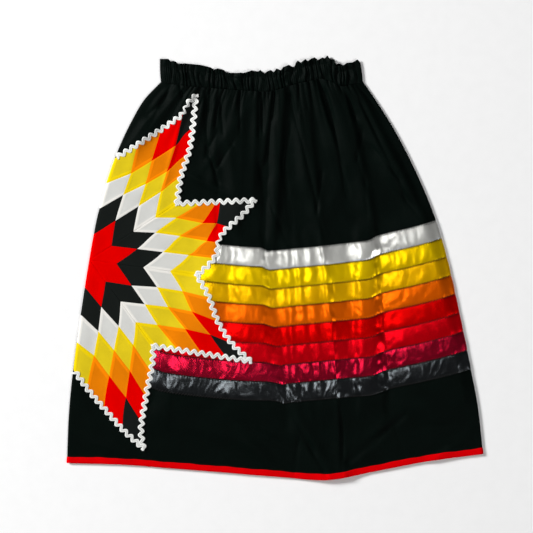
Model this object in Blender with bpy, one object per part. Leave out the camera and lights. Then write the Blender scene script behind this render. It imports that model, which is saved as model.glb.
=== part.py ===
"""Ribbon skirt laid flat: a gathered black cotton tube with satin ribbons and a pieced star.

The front panel lies on the back panel, closed by a sharp fold at each side. Every piece is a sheet
laid in the same net of columns (across) and rows (down), then thickened upward, so that the layers
follow each other with a small gap. Lengths are in millimetres until a mesh is written in metres.
X runs across the skirt, Y up from hem to waist, Z up from the surface that it lies on.
"""

import math

import bmesh
import bpy
from mathutils import Vector
from mathutils.bvhtree import BVHTree

MM = 0.001

# Cloth walls and the gap kept between neighbours
PANEL_WALL = 1.4
CASING_WALL = 1.6
TRIM_WALL = 1.0
BINDING_WALL = 2.2
GAP = 0.3
RICKRACK_GAP = 0.5

# The underside: trims flush on the surface, the back panel over them, the front over that
BACK_PANEL_FLOOR = TRIM_WALL + GAP
BACK_WALL = 1.2
BACK_TOP = BACK_PANEL_FLOOR + BACK_WALL
FRONT_FLOOR = BACK_TOP + GAP

# The cut of the skirt
SKIRT_LENGTH = 790.0
RIBBON_WIDTH = 38.1
RIBBON_TOP = 313.0
BINDING_HEIGHT = 12.7
GATHERS = 25
COLUMNS = 2 * GATHERS
GATHER_LIFT = 3.4
GATHER_REACH = 0.13
LIFT_LIMIT = 3.6
EDGE_SHARE = 0.03

# Wavy trim
TRIM_PITCH = 15.3
TRIM_SWING = 4.0
TRIM_BRAID = 7.5
TRIM_REACH = 5.0
TIP_CLEARANCE = 20.0
NOTCH_CLEARANCE = 10.0
FOLD_CLEARANCE = 9.0
BACK_BAND = 10.0

# Side folds: share of the length from the waist seam down, then left and right points
SIDE_FOLDS = (
    # share, left_x, left_y, right_x, right_y
    (0.000, -228, 373, 176, 373),
    (0.060, -261, 338, 203, 334),
    (0.125, -287, 294, 231, 290),
    (0.250, -327, 202, 277, 203),
    (0.375, -354, 106, 316, 112),
    (0.500, -372, 8, 344, 18),
    (0.625, -388, -91, 366, -79),
    (0.750, -402, -190, 386, -176),
    (0.875, -412, -289, 405, -273),
    (1.000, -416, -389, 416, -371),
)

# How far a level line hangs below the straight line between the folds
SEAM_DIP = (
    # share across, drop
    (0.00, 0), (0.10, 7), (0.27, 13), (0.45, 18), (0.55, 19), (0.63, 9),
    (0.72, 0), (0.80, -6), (0.90, 9), (1.00, 0),
)
BODY_SAG = (
    # share down, drop at mid width
    (0.0, 0), (0.1, 28), (0.2, 43), (0.3, 52), (0.4, 57), (0.6, 60), (0.8, 62), (1.0, 62),
)
HEM_DIP = (
    # share across, drop
    (0.00, 0), (0.14, 6), (0.25, 15), (0.37, 25), (0.51, 37), (0.63, 45),
    (0.74, 30), (0.86, 13), (1.00, 0),
)
SEAM_DIP_REACH = 0.3
HEM_DIP_START = 0.8

# Ruffled heading over the elastic: share across, height above the waist seam
HEADING = (
    (0.00, 48), (0.12, 44), (0.30, 40), (0.36, 34), (0.48, 41), (0.60, 38),
    (0.67, 36), (0.71, 44), (0.84, 42), (0.90, 38), (0.95, 44), (1.00, 41),
)
HEADING_LEFT_X = -230.0
HEADING_RIGHT_X = 169.0
HEADING_ROWS = (0.0, 0.25, 0.62, 0.8, 1.0)
HEADING_RUFFLE = 2.5

# Folds that stand on the laid front, from the first point to the second
RIDGES = (
    # x0, y0, x1, y1, rise, spread
    (18, 350, -2, 40, 3.6, 13),
    (44, 350, 88, 60, 3.0, 12),
    (84, 352, 120, 250, 3.4, 13),
    (120, 350, 192, 70, 3.0, 13),
    (154, 350, 250, 110, 3.0, 13),
    (178, 345, 300, 120, 2.2, 12),
    (-128, 345, -122, 240, 3.0, 12),
    (-84, 350, -74, 60, 2.2, 14),
    (-40, 348, -46, 180, 2.8, 12),
    (-214, 350, -300, 230, 2.2, 12),
    (36, -280, 106, -415, 3.0, 20),
    (104, 44, 136, -415, 2.2, 13),
    (192, 58, 224, -196, 2.6, 13),
    (-30, 40, -14, -120, 1.8, 12),
    (140, -400, 296, -262, 1.8, 16),
    (-236, -284, -40, -370, 1.6, 16),
)
RIDGE_FADE = 30.0

# Outline of the star's front half, down the middle of its trim, from fold to fold
STAR_PATH = (
    # kind, x, y
    ("fold", -319, 220),
    ("bend", -252, 262),
    ("bend", -208, 291),
    ("bend", -186, 308),
    ("bend", -174, 330),
    ("tip", -158, 345),
    ("bend", -163, 294),
    ("bend", -171, 237),
    ("bend", -188, 182),
    ("notch", -196, 130),
    ("tip", -41, 136),
    ("bend", -91, 84),
    ("bend", -140, 4),
    ("notch", -156, -13),
    ("bend", -133, -55),
    ("bend", -114, -106),
    ("bend", -85, -151),
    ("tip", -49, -185),
    ("notch", -243, -155),
    ("bend", -244, -180),
    ("bend", -258, -257),
    ("bend", -267, -335),
    ("tip", -263, -359),
    ("bend", -299, -327),
    ("bend", -336, -286),
    ("bend", -372, -244),
    ("fold", -402, -203),
)
BEYOND_FOLD = -480.0
RIBBON_TUCK_COLUMNS = 2
RIBBON_LEFT_LIMIT = -300.0

# Colour (linear) and roughness of each cloth
RIBBONS = (
    # name, red, green, blue
    ("white", 0.62, 0.62, 0.58),
    ("yellow", 0.85, 0.55, 0.00),
    ("gold", 0.80, 0.38, 0.00),
    ("orange", 0.85, 0.13, 0.00),
    ("red", 0.66, 0.00, 0.01),
    ("crimson", 0.50, 0.00, 0.01),
    ("burgundy", 0.22, 0.01, 0.03),
    ("black", 0.03, 0.03, 0.035),
)
SATIN_ROUGHNESS = 0.35
COTTON = (0.006, 0.007, 0.006)
COTTON_ROUGHNESS = 0.9
STAR_RED = (0.72, 0.00, 0.00)
TRIM_WHITE = (0.80, 0.80, 0.77)

RIBBON_SHARE = RIBBON_WIDTH / SKIRT_LENGTH
RIBBON_TOP_SHARE = RIBBON_TOP / SKIRT_LENGTH
BINDING_SHARE = 1.0 - BINDING_HEIGHT / SKIRT_LENGTH
GAP_SHARE = GAP / SKIRT_LENGTH
RIBBON_LINES = tuple(RIBBON_TOP_SHARE + RIBBON_SHARE * k for k in range(len(RIBBONS) + 1))
WAIST_ROWS = (0.0, 0.02, 0.05, 0.09, 0.14, 0.20, 0.27, 0.335)
HEM_ROWS = (0.85, 0.925, BINDING_SHARE)
PANEL_ROWS = WAIST_ROWS + RIBBON_LINES + HEM_ROWS
ALL_ROWS = PANEL_ROWS + (1.0,)
BACK_PANEL_ROWS = WAIST_ROWS[::2] + RIBBON_LINES[::4] + HEM_ROWS[1:]
BACK_COLUMNS = list(range(0, COLUMNS + 1, 5))


def read_table(rows, share, column=1):
    """Read a column of a table at a share, on a smooth curve through its rows."""
    last = len(rows) - 1
    index = 0
    while index < last - 1 and share > rows[index + 1][0]:
        index += 1
    before = rows[max(index - 1, 0)]
    start, end = rows[index], rows[index + 1]
    after = rows[min(index + 2, last)]
    span = end[0] - start[0]
    way = min(max((share - start[0]) / span, 0.0), 1.0)
    slope_in = (end[column] - before[column]) / (end[0] - before[0]) * span
    slope_out = (after[column] - start[column]) / (after[0] - start[0]) * span
    square, cube = way * way, way ** 3
    return ((2 * cube - 3 * square + 1) * start[column] + (cube - 2 * square + way) * slope_in
            + (3 * square - 2 * cube) * end[column] + (cube - square) * slope_out)


def smooth_step(value, low, high):
    """Rise smoothly from 0 at low to 1 at high."""
    way = min(max((value - low) / (high - low), 0.0), 1.0)
    return way * way * (3.0 - 2.0 * way)


def plan_point(across, down):
    """Place a point of the tube's laid half in plan, from its shares across and down."""
    left_x, left_y, right_x, right_y = (read_table(SIDE_FOLDS, down, c) for c in (1, 2, 3, 4))
    arch = 4.0 * across * (1.0 - across)
    sag = read_table(BODY_SAG, down) * arch
    waist = max(0.0, 1.0 - down / SEAM_DIP_REACH) ** 2 * read_table(SEAM_DIP, across)
    hem = smooth_step(down, HEM_DIP_START, 1.0)
    drop = (sag + waist) * (1.0 - hem) + hem * read_table(HEM_DIP, across)
    x = left_x + (right_x - left_x) * across
    y = left_y + (right_y - left_y) * across
    return x, y - drop


def ridge_lift(x, y, ridge):
    """Height that one fold adds at a plan point: rounded across, fading past its ends."""
    x0, y0, x1, y1, rise, spread = ridge
    start, end, point = Vector((x0, y0)), Vector((x1, y1)), Vector((x, y))
    length = (end - start).length
    run = (end - start) / length
    along = (point - start).dot(run)
    beside = (point - start - run * along).length
    outside = max(-along, along - length, 0.0)
    return rise * math.exp(-(beside / spread) ** 2 - (outside / RIDGE_FADE) ** 2)


def gather_share(column):
    """Uneven spacing of the gathers across the front."""
    share = column / COLUMNS
    return share + 0.004 * math.sin(14.0 * math.pi * share)


def gather_lift(column, down):
    """Alternate columns stand up as gathers under the waist seam and fade below it."""
    if column % 2 == 0:
        return 0.0
    uneven = 0.8 + 0.2 * math.sin(2.3 * column)
    return GATHER_LIFT * uneven * math.exp(-(down / GATHER_REACH) ** 2)


def front_lift(column, down):
    """Height of the front panel's underside over where it would lie with no folds."""
    across = gather_share(column)
    x, y = plan_point(across, down)
    total = gather_lift(column, down) + sum(ridge_lift(x, y, ridge) for ridge in RIDGES)
    edge = smooth_step(min(across, 1.0 - across), 0.0, EDGE_SHARE)
    return LIFT_LIMIT * math.tanh(total / LIFT_LIMIT) * edge


def make_net():
    """Net of the front panel's underside: one row list for each column."""
    net = []
    for column in range(COLUMNS + 1):
        points = []
        for down in ALL_ROWS:
            x, y = plan_point(gather_share(column), down)
            points.append(Vector((x, y, FRONT_FLOOR + front_lift(column, down))))
        net.append(points)
    return net


FRONT_NET = make_net()


def net_point(column, down):
    """Point of the net at a column, straight between the two rows around the share."""
    index = 0
    while index < len(ALL_ROWS) - 2 and down > ALL_ROWS[index + 1] + 1e-9:
        index += 1
    way = (down - ALL_ROWS[index]) / (ALL_ROWS[index + 1] - ALL_ROWS[index])
    return FRONT_NET[column][index].lerp(FRONT_NET[column][index + 1], way)


def front_place(height):
    """Placer of a front layer at a height above the panel's underside."""
    def place(column, down):
        return net_point(column, down) + Vector((0.0, 0.0, height))
    return place


def back_place(floor):
    """Placer of a back layer, flat at a floor height."""
    def place(column, down):
        point = net_point(column, down)
        return Vector((point.x, point.y, floor))
    return place


def grid_sheet(columns, rows, place):
    """Open triangulated sheet on a net of columns and rows."""
    sheet = bmesh.new()
    across, down = len(columns) - 1, len(rows) - 1
    bmesh.ops.create_grid(sheet, x_segments=across, y_segments=down, size=0.5)
    for vert in sheet.verts:
        column = round((vert.co.x + 0.5) * across)
        row = round((vert.co.y + 0.5) * down)
        vert.co = place(columns[column], rows[row])
    bmesh.ops.triangulate(sheet, faces=sheet.faces[:], quad_method="FIXED")
    return sheet


def thicken(sheet, wall):
    """Close a sheet into a solid wall that stands on it."""
    grown = bmesh.ops.extrude_face_region(sheet, geom=sheet.faces[:])
    raised = [item for item in grown["geom"] if isinstance(item, bmesh.types.BMVert)]
    bmesh.ops.translate(sheet, verts=raised, vec=(0.0, 0.0, wall))
    bmesh.ops.recalc_face_normals(sheet, faces=sheet.faces[:])


def is_inside(x, y, outline):
    """Whether a plan point lies inside an outline."""
    inside = False
    for first, second in zip(outline, outline[1:] + outline[:1]):
        if (first.y > y) != (second.y > y):
            crossing = first.x + (y - first.y) * (second.x - first.x) / (second.y - first.y)
            if x < crossing:
                inside = not inside
    return inside


def near_faces(sheet, first, second):
    """Faces whose box meets the box around an edge, with what bounds them."""
    low = Vector((min(first.x, second.x), min(first.y, second.y)))
    high = Vector((max(first.x, second.x), max(first.y, second.y)))
    near = []
    for face in sheet.faces:
        xs = [vert.co.x for vert in face.verts]
        ys = [vert.co.y for vert in face.verts]
        if max(xs) >= low.x and min(xs) <= high.x and max(ys) >= low.y and min(ys) <= high.y:
            near.append(face)
    edges = {edge for face in near for edge in face.edges}
    verts = {vert for face in near for vert in face.verts}
    return near + list(edges) + list(verts)


def cut_to_outline(sheet, outline, keep_inside):
    """Split a sheet along an outline's edges and drop the faces on the other side."""
    for first, second in zip(outline, outline[1:] + outline[:1]):
        run = second - first
        normal = Vector((run.y, -run.x, 0.0)).normalized()
        bmesh.ops.bisect_plane(sheet, geom=near_faces(sheet, first, second), dist=0.01,
                               plane_co=Vector((first.x, first.y, 0.0)), plane_no=normal)
    dropped = []
    for face in sheet.faces:
        centre = face.calc_center_median()
        if is_inside(centre.x, centre.y, outline) != keep_inside:
            dropped.append(face)
    bmesh.ops.delete(sheet, geom=dropped, context="FACES")
    bmesh.ops.triangulate(sheet, faces=sheet.faces[:])


def offset_outline(distance):
    """Star outline moved outward by a distance, run past the left fold and closed there."""
    points = [Vector((x, y)) for _, x, y in STAR_PATH]
    moved = []
    for index, point in enumerate(points):
        before = points[index - 1] if index else point * 2 - points[1]
        after = points[index + 1] if index < len(points) - 1 else point * 2 - points[-2]
        in_run, out_run = (point - before).normalized(), (after - point).normalized()
        in_normal, out_normal = Vector((-in_run.y, in_run.x)), Vector((-out_run.y, out_run.x))
        mitre = (in_normal + out_normal) / (1.0 + in_normal.dot(out_normal))
        moved.append(point + mitre * distance)
    first_run, last_run = moved[0] - moved[1], moved[-1] - moved[-2]
    start = moved[0] + first_run * ((BEYOND_FOLD - moved[0].x) / first_run.x)
    end = moved[-1] + last_run * ((BEYOND_FOLD - moved[-1].x) / last_run.x)
    return [start] + moved[1:-1] + [end]


STAR_OUTLINE = offset_outline(0.0)


def ribbon_start(ribbon):
    """First column of a front ribbon: tucked under the star, left of where it comes out."""
    top, bottom = RIBBON_LINES[ribbon], RIBBON_LINES[ribbon + 1]
    for column in range(COLUMNS + 1):
        for down in (top, (top + bottom) / 2, bottom):
            point = net_point(column, down)
            if point.x > RIBBON_LEFT_LIMIT and not is_inside(point.x, point.y, STAR_OUTLINE):
                return column - RIBBON_TUCK_COLUMNS
    return COLUMNS


RIBBON_STARTS = tuple(ribbon_start(ribbon) for ribbon in range(len(RIBBONS)))


def over_ribbons(column, down):
    """Extra height of the star where ribbon ends lie under it."""
    for ribbon, start in enumerate(RIBBON_STARTS):
        top, bottom = RIBBON_LINES[ribbon], RIBBON_LINES[ribbon + 1]
        if column >= start and top - 1e-9 <= down <= bottom + 1e-9:
            return TRIM_WALL + GAP
    return 0.0


def star_place(height):
    """Placer of a layer on the front panel or on the ribbon ends under the star."""
    def place(column, down):
        lift = PANEL_WALL + GAP + over_ribbons(column, down) + height
        return net_point(column, down) + Vector((0.0, 0.0, lift))
    return place


def make_material(name, colour, roughness):
    """Principled material of one cloth."""
    material = bpy.data.materials.new(name)
    material.use_nodes = True
    shader = material.node_tree.nodes["Principled BSDF"]
    shader.inputs["Base Color"].default_value = (*colour, 1.0)
    shader.inputs["Roughness"].default_value = roughness
    shader.inputs["Metallic"].default_value = 0.0
    return material


def write_object(name, solid, colour, roughness, collection):
    """Write a bmesh in millimetres as a named object in metres."""
    bmesh.ops.scale(solid, verts=solid.verts[:], vec=(MM, MM, MM))
    mesh = bpy.data.meshes.new(name)
    solid.to_mesh(mesh)
    solid.free()
    mesh.materials.append(make_material(name + "_cloth", colour, roughness))
    thing = bpy.data.objects.new(name, mesh)
    collection.objects.link(thing)
    return thing


def add_panels(collection):
    """The black cotton front and back of the tube."""
    columns = list(range(COLUMNS + 1))
    front = grid_sheet(columns, PANEL_ROWS, front_place(0.0))
    thicken(front, PANEL_WALL)
    write_object("skirt_front", front, COTTON, COTTON_ROUGHNESS, collection)
    back = grid_sheet(columns, BACK_PANEL_ROWS, back_place(BACK_PANEL_FLOOR))
    thicken(back, BACK_WALL)
    write_object("skirt_back", back, COTTON, COTTON_ROUGHNESS, collection)


def add_bindings(collection):
    """The red strip bound over the hem, front and back."""
    columns = list(range(COLUMNS + 1))
    rows = (BINDING_SHARE + GAP_SHARE, 1.0)
    front = grid_sheet(columns, rows, front_place(0.0))
    thicken(front, BINDING_WALL)
    write_object("binding_front", front, STAR_RED, COTTON_ROUGHNESS, collection)
    back = grid_sheet(columns, rows, back_place(0.0))
    thicken(back, BACK_TOP)
    write_object("binding_back", back, STAR_RED, COTTON_ROUGHNESS, collection)


def heading_place(floor, gathered):
    """Placer of the elastic casing, rising from the waist seam to its ruffled top edge."""
    def place(column, rise):
        across = gather_share(column)
        seam_x, seam_y = plan_point(across, 0.0)
        top_x = HEADING_LEFT_X + (HEADING_RIGHT_X - HEADING_LEFT_X) * across
        odd = column % 2
        ruffle = HEADING_RUFFLE * (odd - 0.5) * rise
        height = GAP + (read_table(HEADING, across) - GAP + ruffle) * rise
        lift = 0.0
        if gathered:
            edge = smooth_step(min(across, 1.0 - across), 0.0, EDGE_SHARE)
            lift = odd * edge * GATHER_LIFT * (0.85 + 0.15 * math.sin(1.7 * column))
        return Vector((seam_x + (top_x - seam_x) * rise, seam_y + height, floor + lift))
    return place


def add_casings(collection):
    """The gathered elastic casing with its ruffled heading, front and back."""
    columns = list(range(COLUMNS + 1))
    front = grid_sheet(columns, HEADING_ROWS, heading_place(FRONT_FLOOR, True))
    thicken(front, CASING_WALL)
    write_object("casing_front", front, COTTON, COTTON_ROUGHNESS, collection)
    back = grid_sheet(columns, (HEADING_ROWS[0], HEADING_ROWS[-1]), heading_place(0.0, False))
    thicken(back, BACK_TOP)
    write_object("casing_back", back, COTTON, COTTON_ROUGHNESS, collection)


def ribbon_rows(ribbon):
    """Rows of one ribbon, kept half a gap inside its lines."""
    return (RIBBON_LINES[ribbon] + GAP_SHARE / 2, RIBBON_LINES[ribbon + 1] - GAP_SHARE / 2)


def add_front_ribbons(collection):
    """The eight satin ribbons from under the star to the right fold."""
    for ribbon, (name, *colour) in enumerate(RIBBONS):
        columns = list(range(RIBBON_STARTS[ribbon], COLUMNS + 1))
        sheet = grid_sheet(columns, ribbon_rows(ribbon), front_place(PANEL_WALL + GAP))
        thicken(sheet, TRIM_WALL)
        title = "ribbon_" + name + "_front"
        write_object(title, sheet, colour, SATIN_ROUGHNESS, collection)


def split_islands(sheet):
    """Group a sheet's faces into connected islands."""
    waiting, islands = set(sheet.faces), []
    while waiting:
        island, edge_of_search = set(), [waiting.pop()]
        while edge_of_search:
            face = edge_of_search.pop()
            island.add(face)
            for edge in face.edges:
                for other in edge.link_faces:
                    if other in waiting:
                        waiting.remove(other)
                        edge_of_search.append(other)
        islands.append(island)
    return islands


def add_back_ribbons(collection):
    """The ribbons' underside, flush with the trims and cut clear of the star's band."""
    band = offset_outline(BACK_BAND / 2 + GAP)
    for ribbon, (name, *colour) in enumerate(RIBBONS):
        sheet = grid_sheet(BACK_COLUMNS, ribbon_rows(ribbon), back_place(0.0))
        cut_to_outline(sheet, band, keep_inside=False)
        islands = split_islands(sheet)
        largest = max(islands, key=lambda faces: sum(face.calc_area() for face in faces))
        rest = [face for face in sheet.faces if face not in largest]
        bmesh.ops.delete(sheet, geom=rest, context="FACES")
        thicken(sheet, TRIM_WALL)
        title = "ribbon_" + name + "_back"
        write_object(title, sheet, colour, SATIN_ROUGHNESS, collection)


STAR_COLUMNS = list(range(0, 32))
STAR_ROWS = ALL_ROWS[1:-1]


def add_stars(collection):
    """The pieced star: its front half over the ribbon ends, its back half flush below."""
    front = grid_sheet(STAR_COLUMNS, STAR_ROWS, star_place(0.0))
    cut_to_outline(front, STAR_OUTLINE, keep_inside=True)
    thicken(front, TRIM_WALL)
    write_object("star_front", front, STAR_RED, COTTON_ROUGHNESS, collection)
    back = grid_sheet(BACK_COLUMNS, STAR_ROWS, back_place(0.0))
    cut_to_outline(back, offset_outline(-BACK_BAND / 2 - GAP), keep_inside=True)
    thicken(back, TRIM_WALL)
    write_object("star_back", back, STAR_RED, COTTON_ROUGHNESS, collection)


def trim_stations():
    """Stations along the star's front outline: base point, outward normal and wave swing."""
    points = [(kind, Vector((x, y))) for kind, x, y in STAR_PATH]
    legs, leg = [], [points[0]]
    for item in points[1:]:
        leg.append(item)
        if item[0] != "bend":
            legs.append(leg)
            leg = [item]
    stations = []
    for leg in legs:
        stations.extend(leg_stations(leg))
        kind, corner = leg[-1]
        if kind != "fold":
            stations.append(("corner", kind, corner))
    return stations


def leg_stations(leg):
    """Waves of the trim along one leg of the outline, kept clear of its two corners."""
    clearances = {"tip": TIP_CLEARANCE, "notch": NOTCH_CLEARANCE, "fold": FOLD_CLEARANCE}
    points = [point for _, point in leg]
    steps = [(b - a).length for a, b in zip(points, points[1:])]
    length = sum(steps)
    half_waves = 2 * round(length / TRIM_PITCH)
    stations = []
    for index in range(half_waves):
        along = (index + 0.5) * length / half_waves
        swing = TRIM_SWING if index % 2 else -TRIM_SWING
        start_room, end_room = clearances[leg[0][0]], clearances[leg[-1][0]]
        if along < start_room / 2 or length - along < end_room / 2:
            continue
        if along < start_room or length - along < end_room:
            swing = 0.0
        base, rest = 0, along
        while rest > steps[base] and base < len(steps) - 1:
            rest -= steps[base]
            base += 1
        run = (points[base + 1] - points[base]).normalized()
        stations.append(("wave", swing, points[base] + run * rest, run))
    return stations


def trim_sides():
    """Outer and inner plan points of the trim at each station."""
    half = TRIM_BRAID / 2
    stations = trim_stations()
    sides = []
    for index, station in enumerate(stations):
        if station[0] == "wave":
            _, swing, base, run = station
            normal = Vector((-run.y, run.x))
            sides.append((base + normal * (swing + half), base + normal * (swing - half)))
            continue
        _, kind, corner = station
        in_run, out_run = stations[index - 1][3], stations[index + 1][3]
        in_normal, out_normal = Vector((-in_run.y, in_run.x)), Vector((-out_run.y, out_run.x))
        mitre = (in_normal + out_normal) / (1.0 + in_normal.dot(out_normal)) * half
        blunt = mitre.normalized() * half * 1.2
        outer, inner = (blunt, -mitre) if kind == "tip" else (mitre, -blunt)
        sides.append((corner + outer, corner + inner))
    return sides


def add_trims(collection):
    """The wavy trim along the star's outline, and its plain band on the underside."""
    cover = grid_sheet(list(range(COLUMNS + 1)), ALL_ROWS,
                       star_place(TRIM_WALL + RICKRACK_GAP))
    surface = BVHTree.FromBMesh(cover)
    cover.free()
    sides = trim_sides()

    def height(x, y):
        hit = surface.ray_cast(Vector((x, y, 100.0)), Vector((0.0, 0.0, -1.0)))[0]
        return hit.z if hit else 0.0

    def place(station, side):
        x, y = sides[station][side]
        around = ((0, 0), (TRIM_REACH, 0), (-TRIM_REACH, 0), (0, TRIM_REACH), (0, -TRIM_REACH))
        return Vector((x, y, max(height(x + dx, y + dy) for dx, dy in around)))

    front = grid_sheet(list(range(len(sides))), (0, 1), place)
    thicken(front, TRIM_WALL)
    write_object("rickrack_front", front, TRIM_WHITE, COTTON_ROUGHNESS, collection)

    back = grid_sheet(BACK_COLUMNS, STAR_ROWS, back_place(0.0))
    cut_to_outline(back, offset_outline(BACK_BAND / 2), keep_inside=True)
    cut_to_outline(back, offset_outline(-BACK_BAND / 2), keep_inside=False)
    thicken(back, TRIM_WALL)
    write_object("rickrack_back", back, TRIM_WHITE, COTTON_ROUGHNESS, collection)


def main():
    """Build the skirt in its own collection."""
    for thing in list(bpy.data.objects):
        bpy.data.objects.remove(thing)
    collection = bpy.data.collections.new("ribbon_skirt")
    bpy.context.scene.collection.children.link(collection)
    add_panels(collection)
    add_casings(collection)
    add_front_ribbons(collection)
    add_back_ribbons(collection)
    add_stars(collection)
    add_trims(collection)
    add_bindings(collection)


main()
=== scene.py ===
"""Looks of the ribbon skirt, laid flat: black cotton, satin ribbons, a pieced star and wavy trim.

Lengths are in millimetres up to the moment a mesh is written. X runs across the skirt, Y from the
hem to the waist, and Z up from the surface that the skirt lies on. Every layer is a fine net laid
on the same folds, so ribbons, patchwork, trim and thread follow the cloth below them.
"""

import logging
import math
from contextlib import contextmanager
from dataclasses import dataclass, field
from enum import Enum
from typing import Callable, Iterator, Sequence

import bmesh
import bpy
import numpy as np
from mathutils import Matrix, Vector, noise


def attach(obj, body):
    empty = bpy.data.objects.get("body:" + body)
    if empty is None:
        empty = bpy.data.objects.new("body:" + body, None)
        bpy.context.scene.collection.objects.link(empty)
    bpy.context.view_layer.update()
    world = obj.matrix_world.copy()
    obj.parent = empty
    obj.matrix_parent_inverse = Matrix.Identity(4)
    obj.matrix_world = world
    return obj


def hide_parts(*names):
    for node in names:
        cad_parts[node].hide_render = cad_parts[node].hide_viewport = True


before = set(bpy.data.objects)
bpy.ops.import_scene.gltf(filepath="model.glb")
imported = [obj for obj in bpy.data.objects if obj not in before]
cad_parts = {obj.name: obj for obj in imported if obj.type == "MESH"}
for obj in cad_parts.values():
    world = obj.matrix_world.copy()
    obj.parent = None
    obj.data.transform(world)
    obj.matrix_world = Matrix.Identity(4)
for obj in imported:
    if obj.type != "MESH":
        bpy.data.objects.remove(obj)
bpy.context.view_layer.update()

LOG = logging.getLogger("ribbon_skirt")
MM = 0.001
TINY = 1e-9
NUDGE = 1e-6

Array = np.ndarray
Place = Callable[[Array, Array], Array]
Edges = tuple[Array, Array, Array, Array]
Colour = tuple[float, float, float]
Point = tuple[float, float, float]
Waves = tuple[Point, ...]
Thing = bpy.types.Object
Material = bpy.types.Material
Tree = bpy.types.NodeTree
Node = bpy.types.Node
Socket = bpy.types.NodeSocket
Inputs = dict[str | int, object]


class Side(Enum):
    """Which half of the laid tube a layer belongs to."""

    FRONT = "front"
    BACK = "back"

    def pick(self, front: float, back: float) -> float:
        """Pick the front's value or the back's."""
        return front if self is Side.FRONT else back


class Hold(Enum):
    """How a cloth piece is held."""

    GATHERED = "gathered"
    LAID = "laid"
    FOLDED = "folded"


# Width of the gathered waist, and columns that a cloth has just beside each side fold
WAIST_WIDTH = 404.0
FOLD_LINES = np.array([0.0015, 0.003, 0.0045])

# Side folds: share of the length from the waist seam down, then left and right points
SIDE_FOLDS = (
    (0.000, -228, 373, 176, 373),
    (0.060, -261, 338, 203, 334),
    (0.125, -287, 294, 231, 290),
    (0.250, -327, 202, 277, 203),
    (0.375, -354, 106, 316, 112),
    (0.500, -372, 8, 344, 18),
    (0.625, -388, -91, 366, -79),
    (0.750, -402, -190, 386, -176),
    (0.875, -412, -289, 405, -273),
    (1.000, -416, -389, 416, -371),
)

# Share across, drop of the waist seam under the straight line between the folds
SEAM_DIP = (
    (0.00, 0), (0.10, 7), (0.27, 13), (0.45, 18), (0.55, 19), (0.63, 9),
    (0.72, 0), (0.80, -6), (0.90, 9), (1.00, 0),
)

# Share down, drop of a level line at mid width
BODY_SAG = (
    (0.0, 0), (0.1, 28), (0.2, 43), (0.3, 52), (0.4, 57), (0.6, 60), (0.8, 62), (1.0, 62),
)

# Share across, drop of the hem
HEM_DIP = (
    (0.00, 0), (0.14, 6), (0.25, 15), (0.37, 25), (0.51, 37), (0.63, 45),
    (0.74, 30), (0.86, 13), (1.00, 0),
)

# Ruffled top edge of the heading, as plan points from left to right
HEADING_EDGE = (
    (-230, 419), (-213, 419), (-209, 414), (-203, 415), (-197, 413), (-195, 409),
    (-180, 410), (-160, 408), (-144, 406), (-129, 402), (-122, 397), (-115, 400),
    (-102, 397), (-98, 391), (-73, 391), (-62, 391), (-46, 396), (-34, 394),
    (-29, 397), (-21, 389), (-16, 394), (-8, 397), (-3, 392), (3, 400), (11, 396),
    (17, 403), (28, 407), (35, 403), (39, 404), (42, 412), (46, 416), (51, 411),
    (61, 419), (65, 414), (73, 420), (80, 422), (85, 416), (95, 422), (99, 420),
    (105, 426), (110, 418), (119, 418), (122, 405.5), (136, 404.5), (143, 411),
    (155, 412), (165, 418), (171, 411),
)

# Folds of the front: two points, rise, spread to the left and to the right of the crest
FOLDS = (
    (16, 352, -4, 44, 5.0, 16, 7), (42, 352, 60, 190, 4.4, 9, 12), (62, 352, 92, 60, 3.2, 13, 7),
    (84, 354, 118, 250, 4.8, 14, 8), (108, 352, 132, 296, 3.0, 7, 7),
    (122, 350, 150, 240, 4.2, 12, 7), (140, 350, 196, 90, 4.0, 15, 8),
    (158, 350, 226, 200, 3.6, 9, 9), (172, 348, 262, 170, 3.2, 10, 7),
    (222, 236, 292, 110, 2.4, 16, 9), (-6, 350, -20, 240, 3.4, 8, 10),
    (-34, 346, -44, 176, 3.6, 11, 8), (-62, 348, -70, 150, 2.6, 10, 12),
    (-92, 350, -78, 60, 2.4, 15, 11), (-118, 348, -132, 268, 3.6, 8, 10),
    (-140, 348, -152, 290, 2.8, 8, 7), (-166, 352, -196, 300, 2.8, 8, 10),
    (-192, 352, -262, 262, 3.2, 9, 10), (-210, 356, -300, 240, 2.6, 9, 8),
    (-79, 348, -79, 289, 2.4, 9, 6), (-79, 289, -120, 232, 2.4, 10, 9),
    (-120, 232, -124, 197, 2.0, 8, 9), (-97, 263, -82, 171, 2.0, 9, 9),
    (-150, 176, -106, 154, 1.8, 9, 7), (-72, 240, -40, 130, 1.6, 18, 18),
    (150, 230, 110, 120, 1.6, 22, 14), (34, -276, 104, -412, 3.2, 20, 14),
    (118, -236, 136, -410, 2.6, 14, 9), (150, -404, 214, -318, 1.0, 16, 14),
    (214, -318, 306, -264, 1.2, 16, 14), (-238, -286, -50, -352, 1.6, 22, 14),
    (-50, -352, -14, -384, 2.0, 12, 12), (-346, -352, -310, -366, 1.2, 12, 10),
    (330, -372, 392, -328, 1.4, 12, 9), (-120, -296, 20, -330, 1.2, 20, 16),
    (252, -268, 330, -300, 1.0, 16, 16),
)

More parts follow.
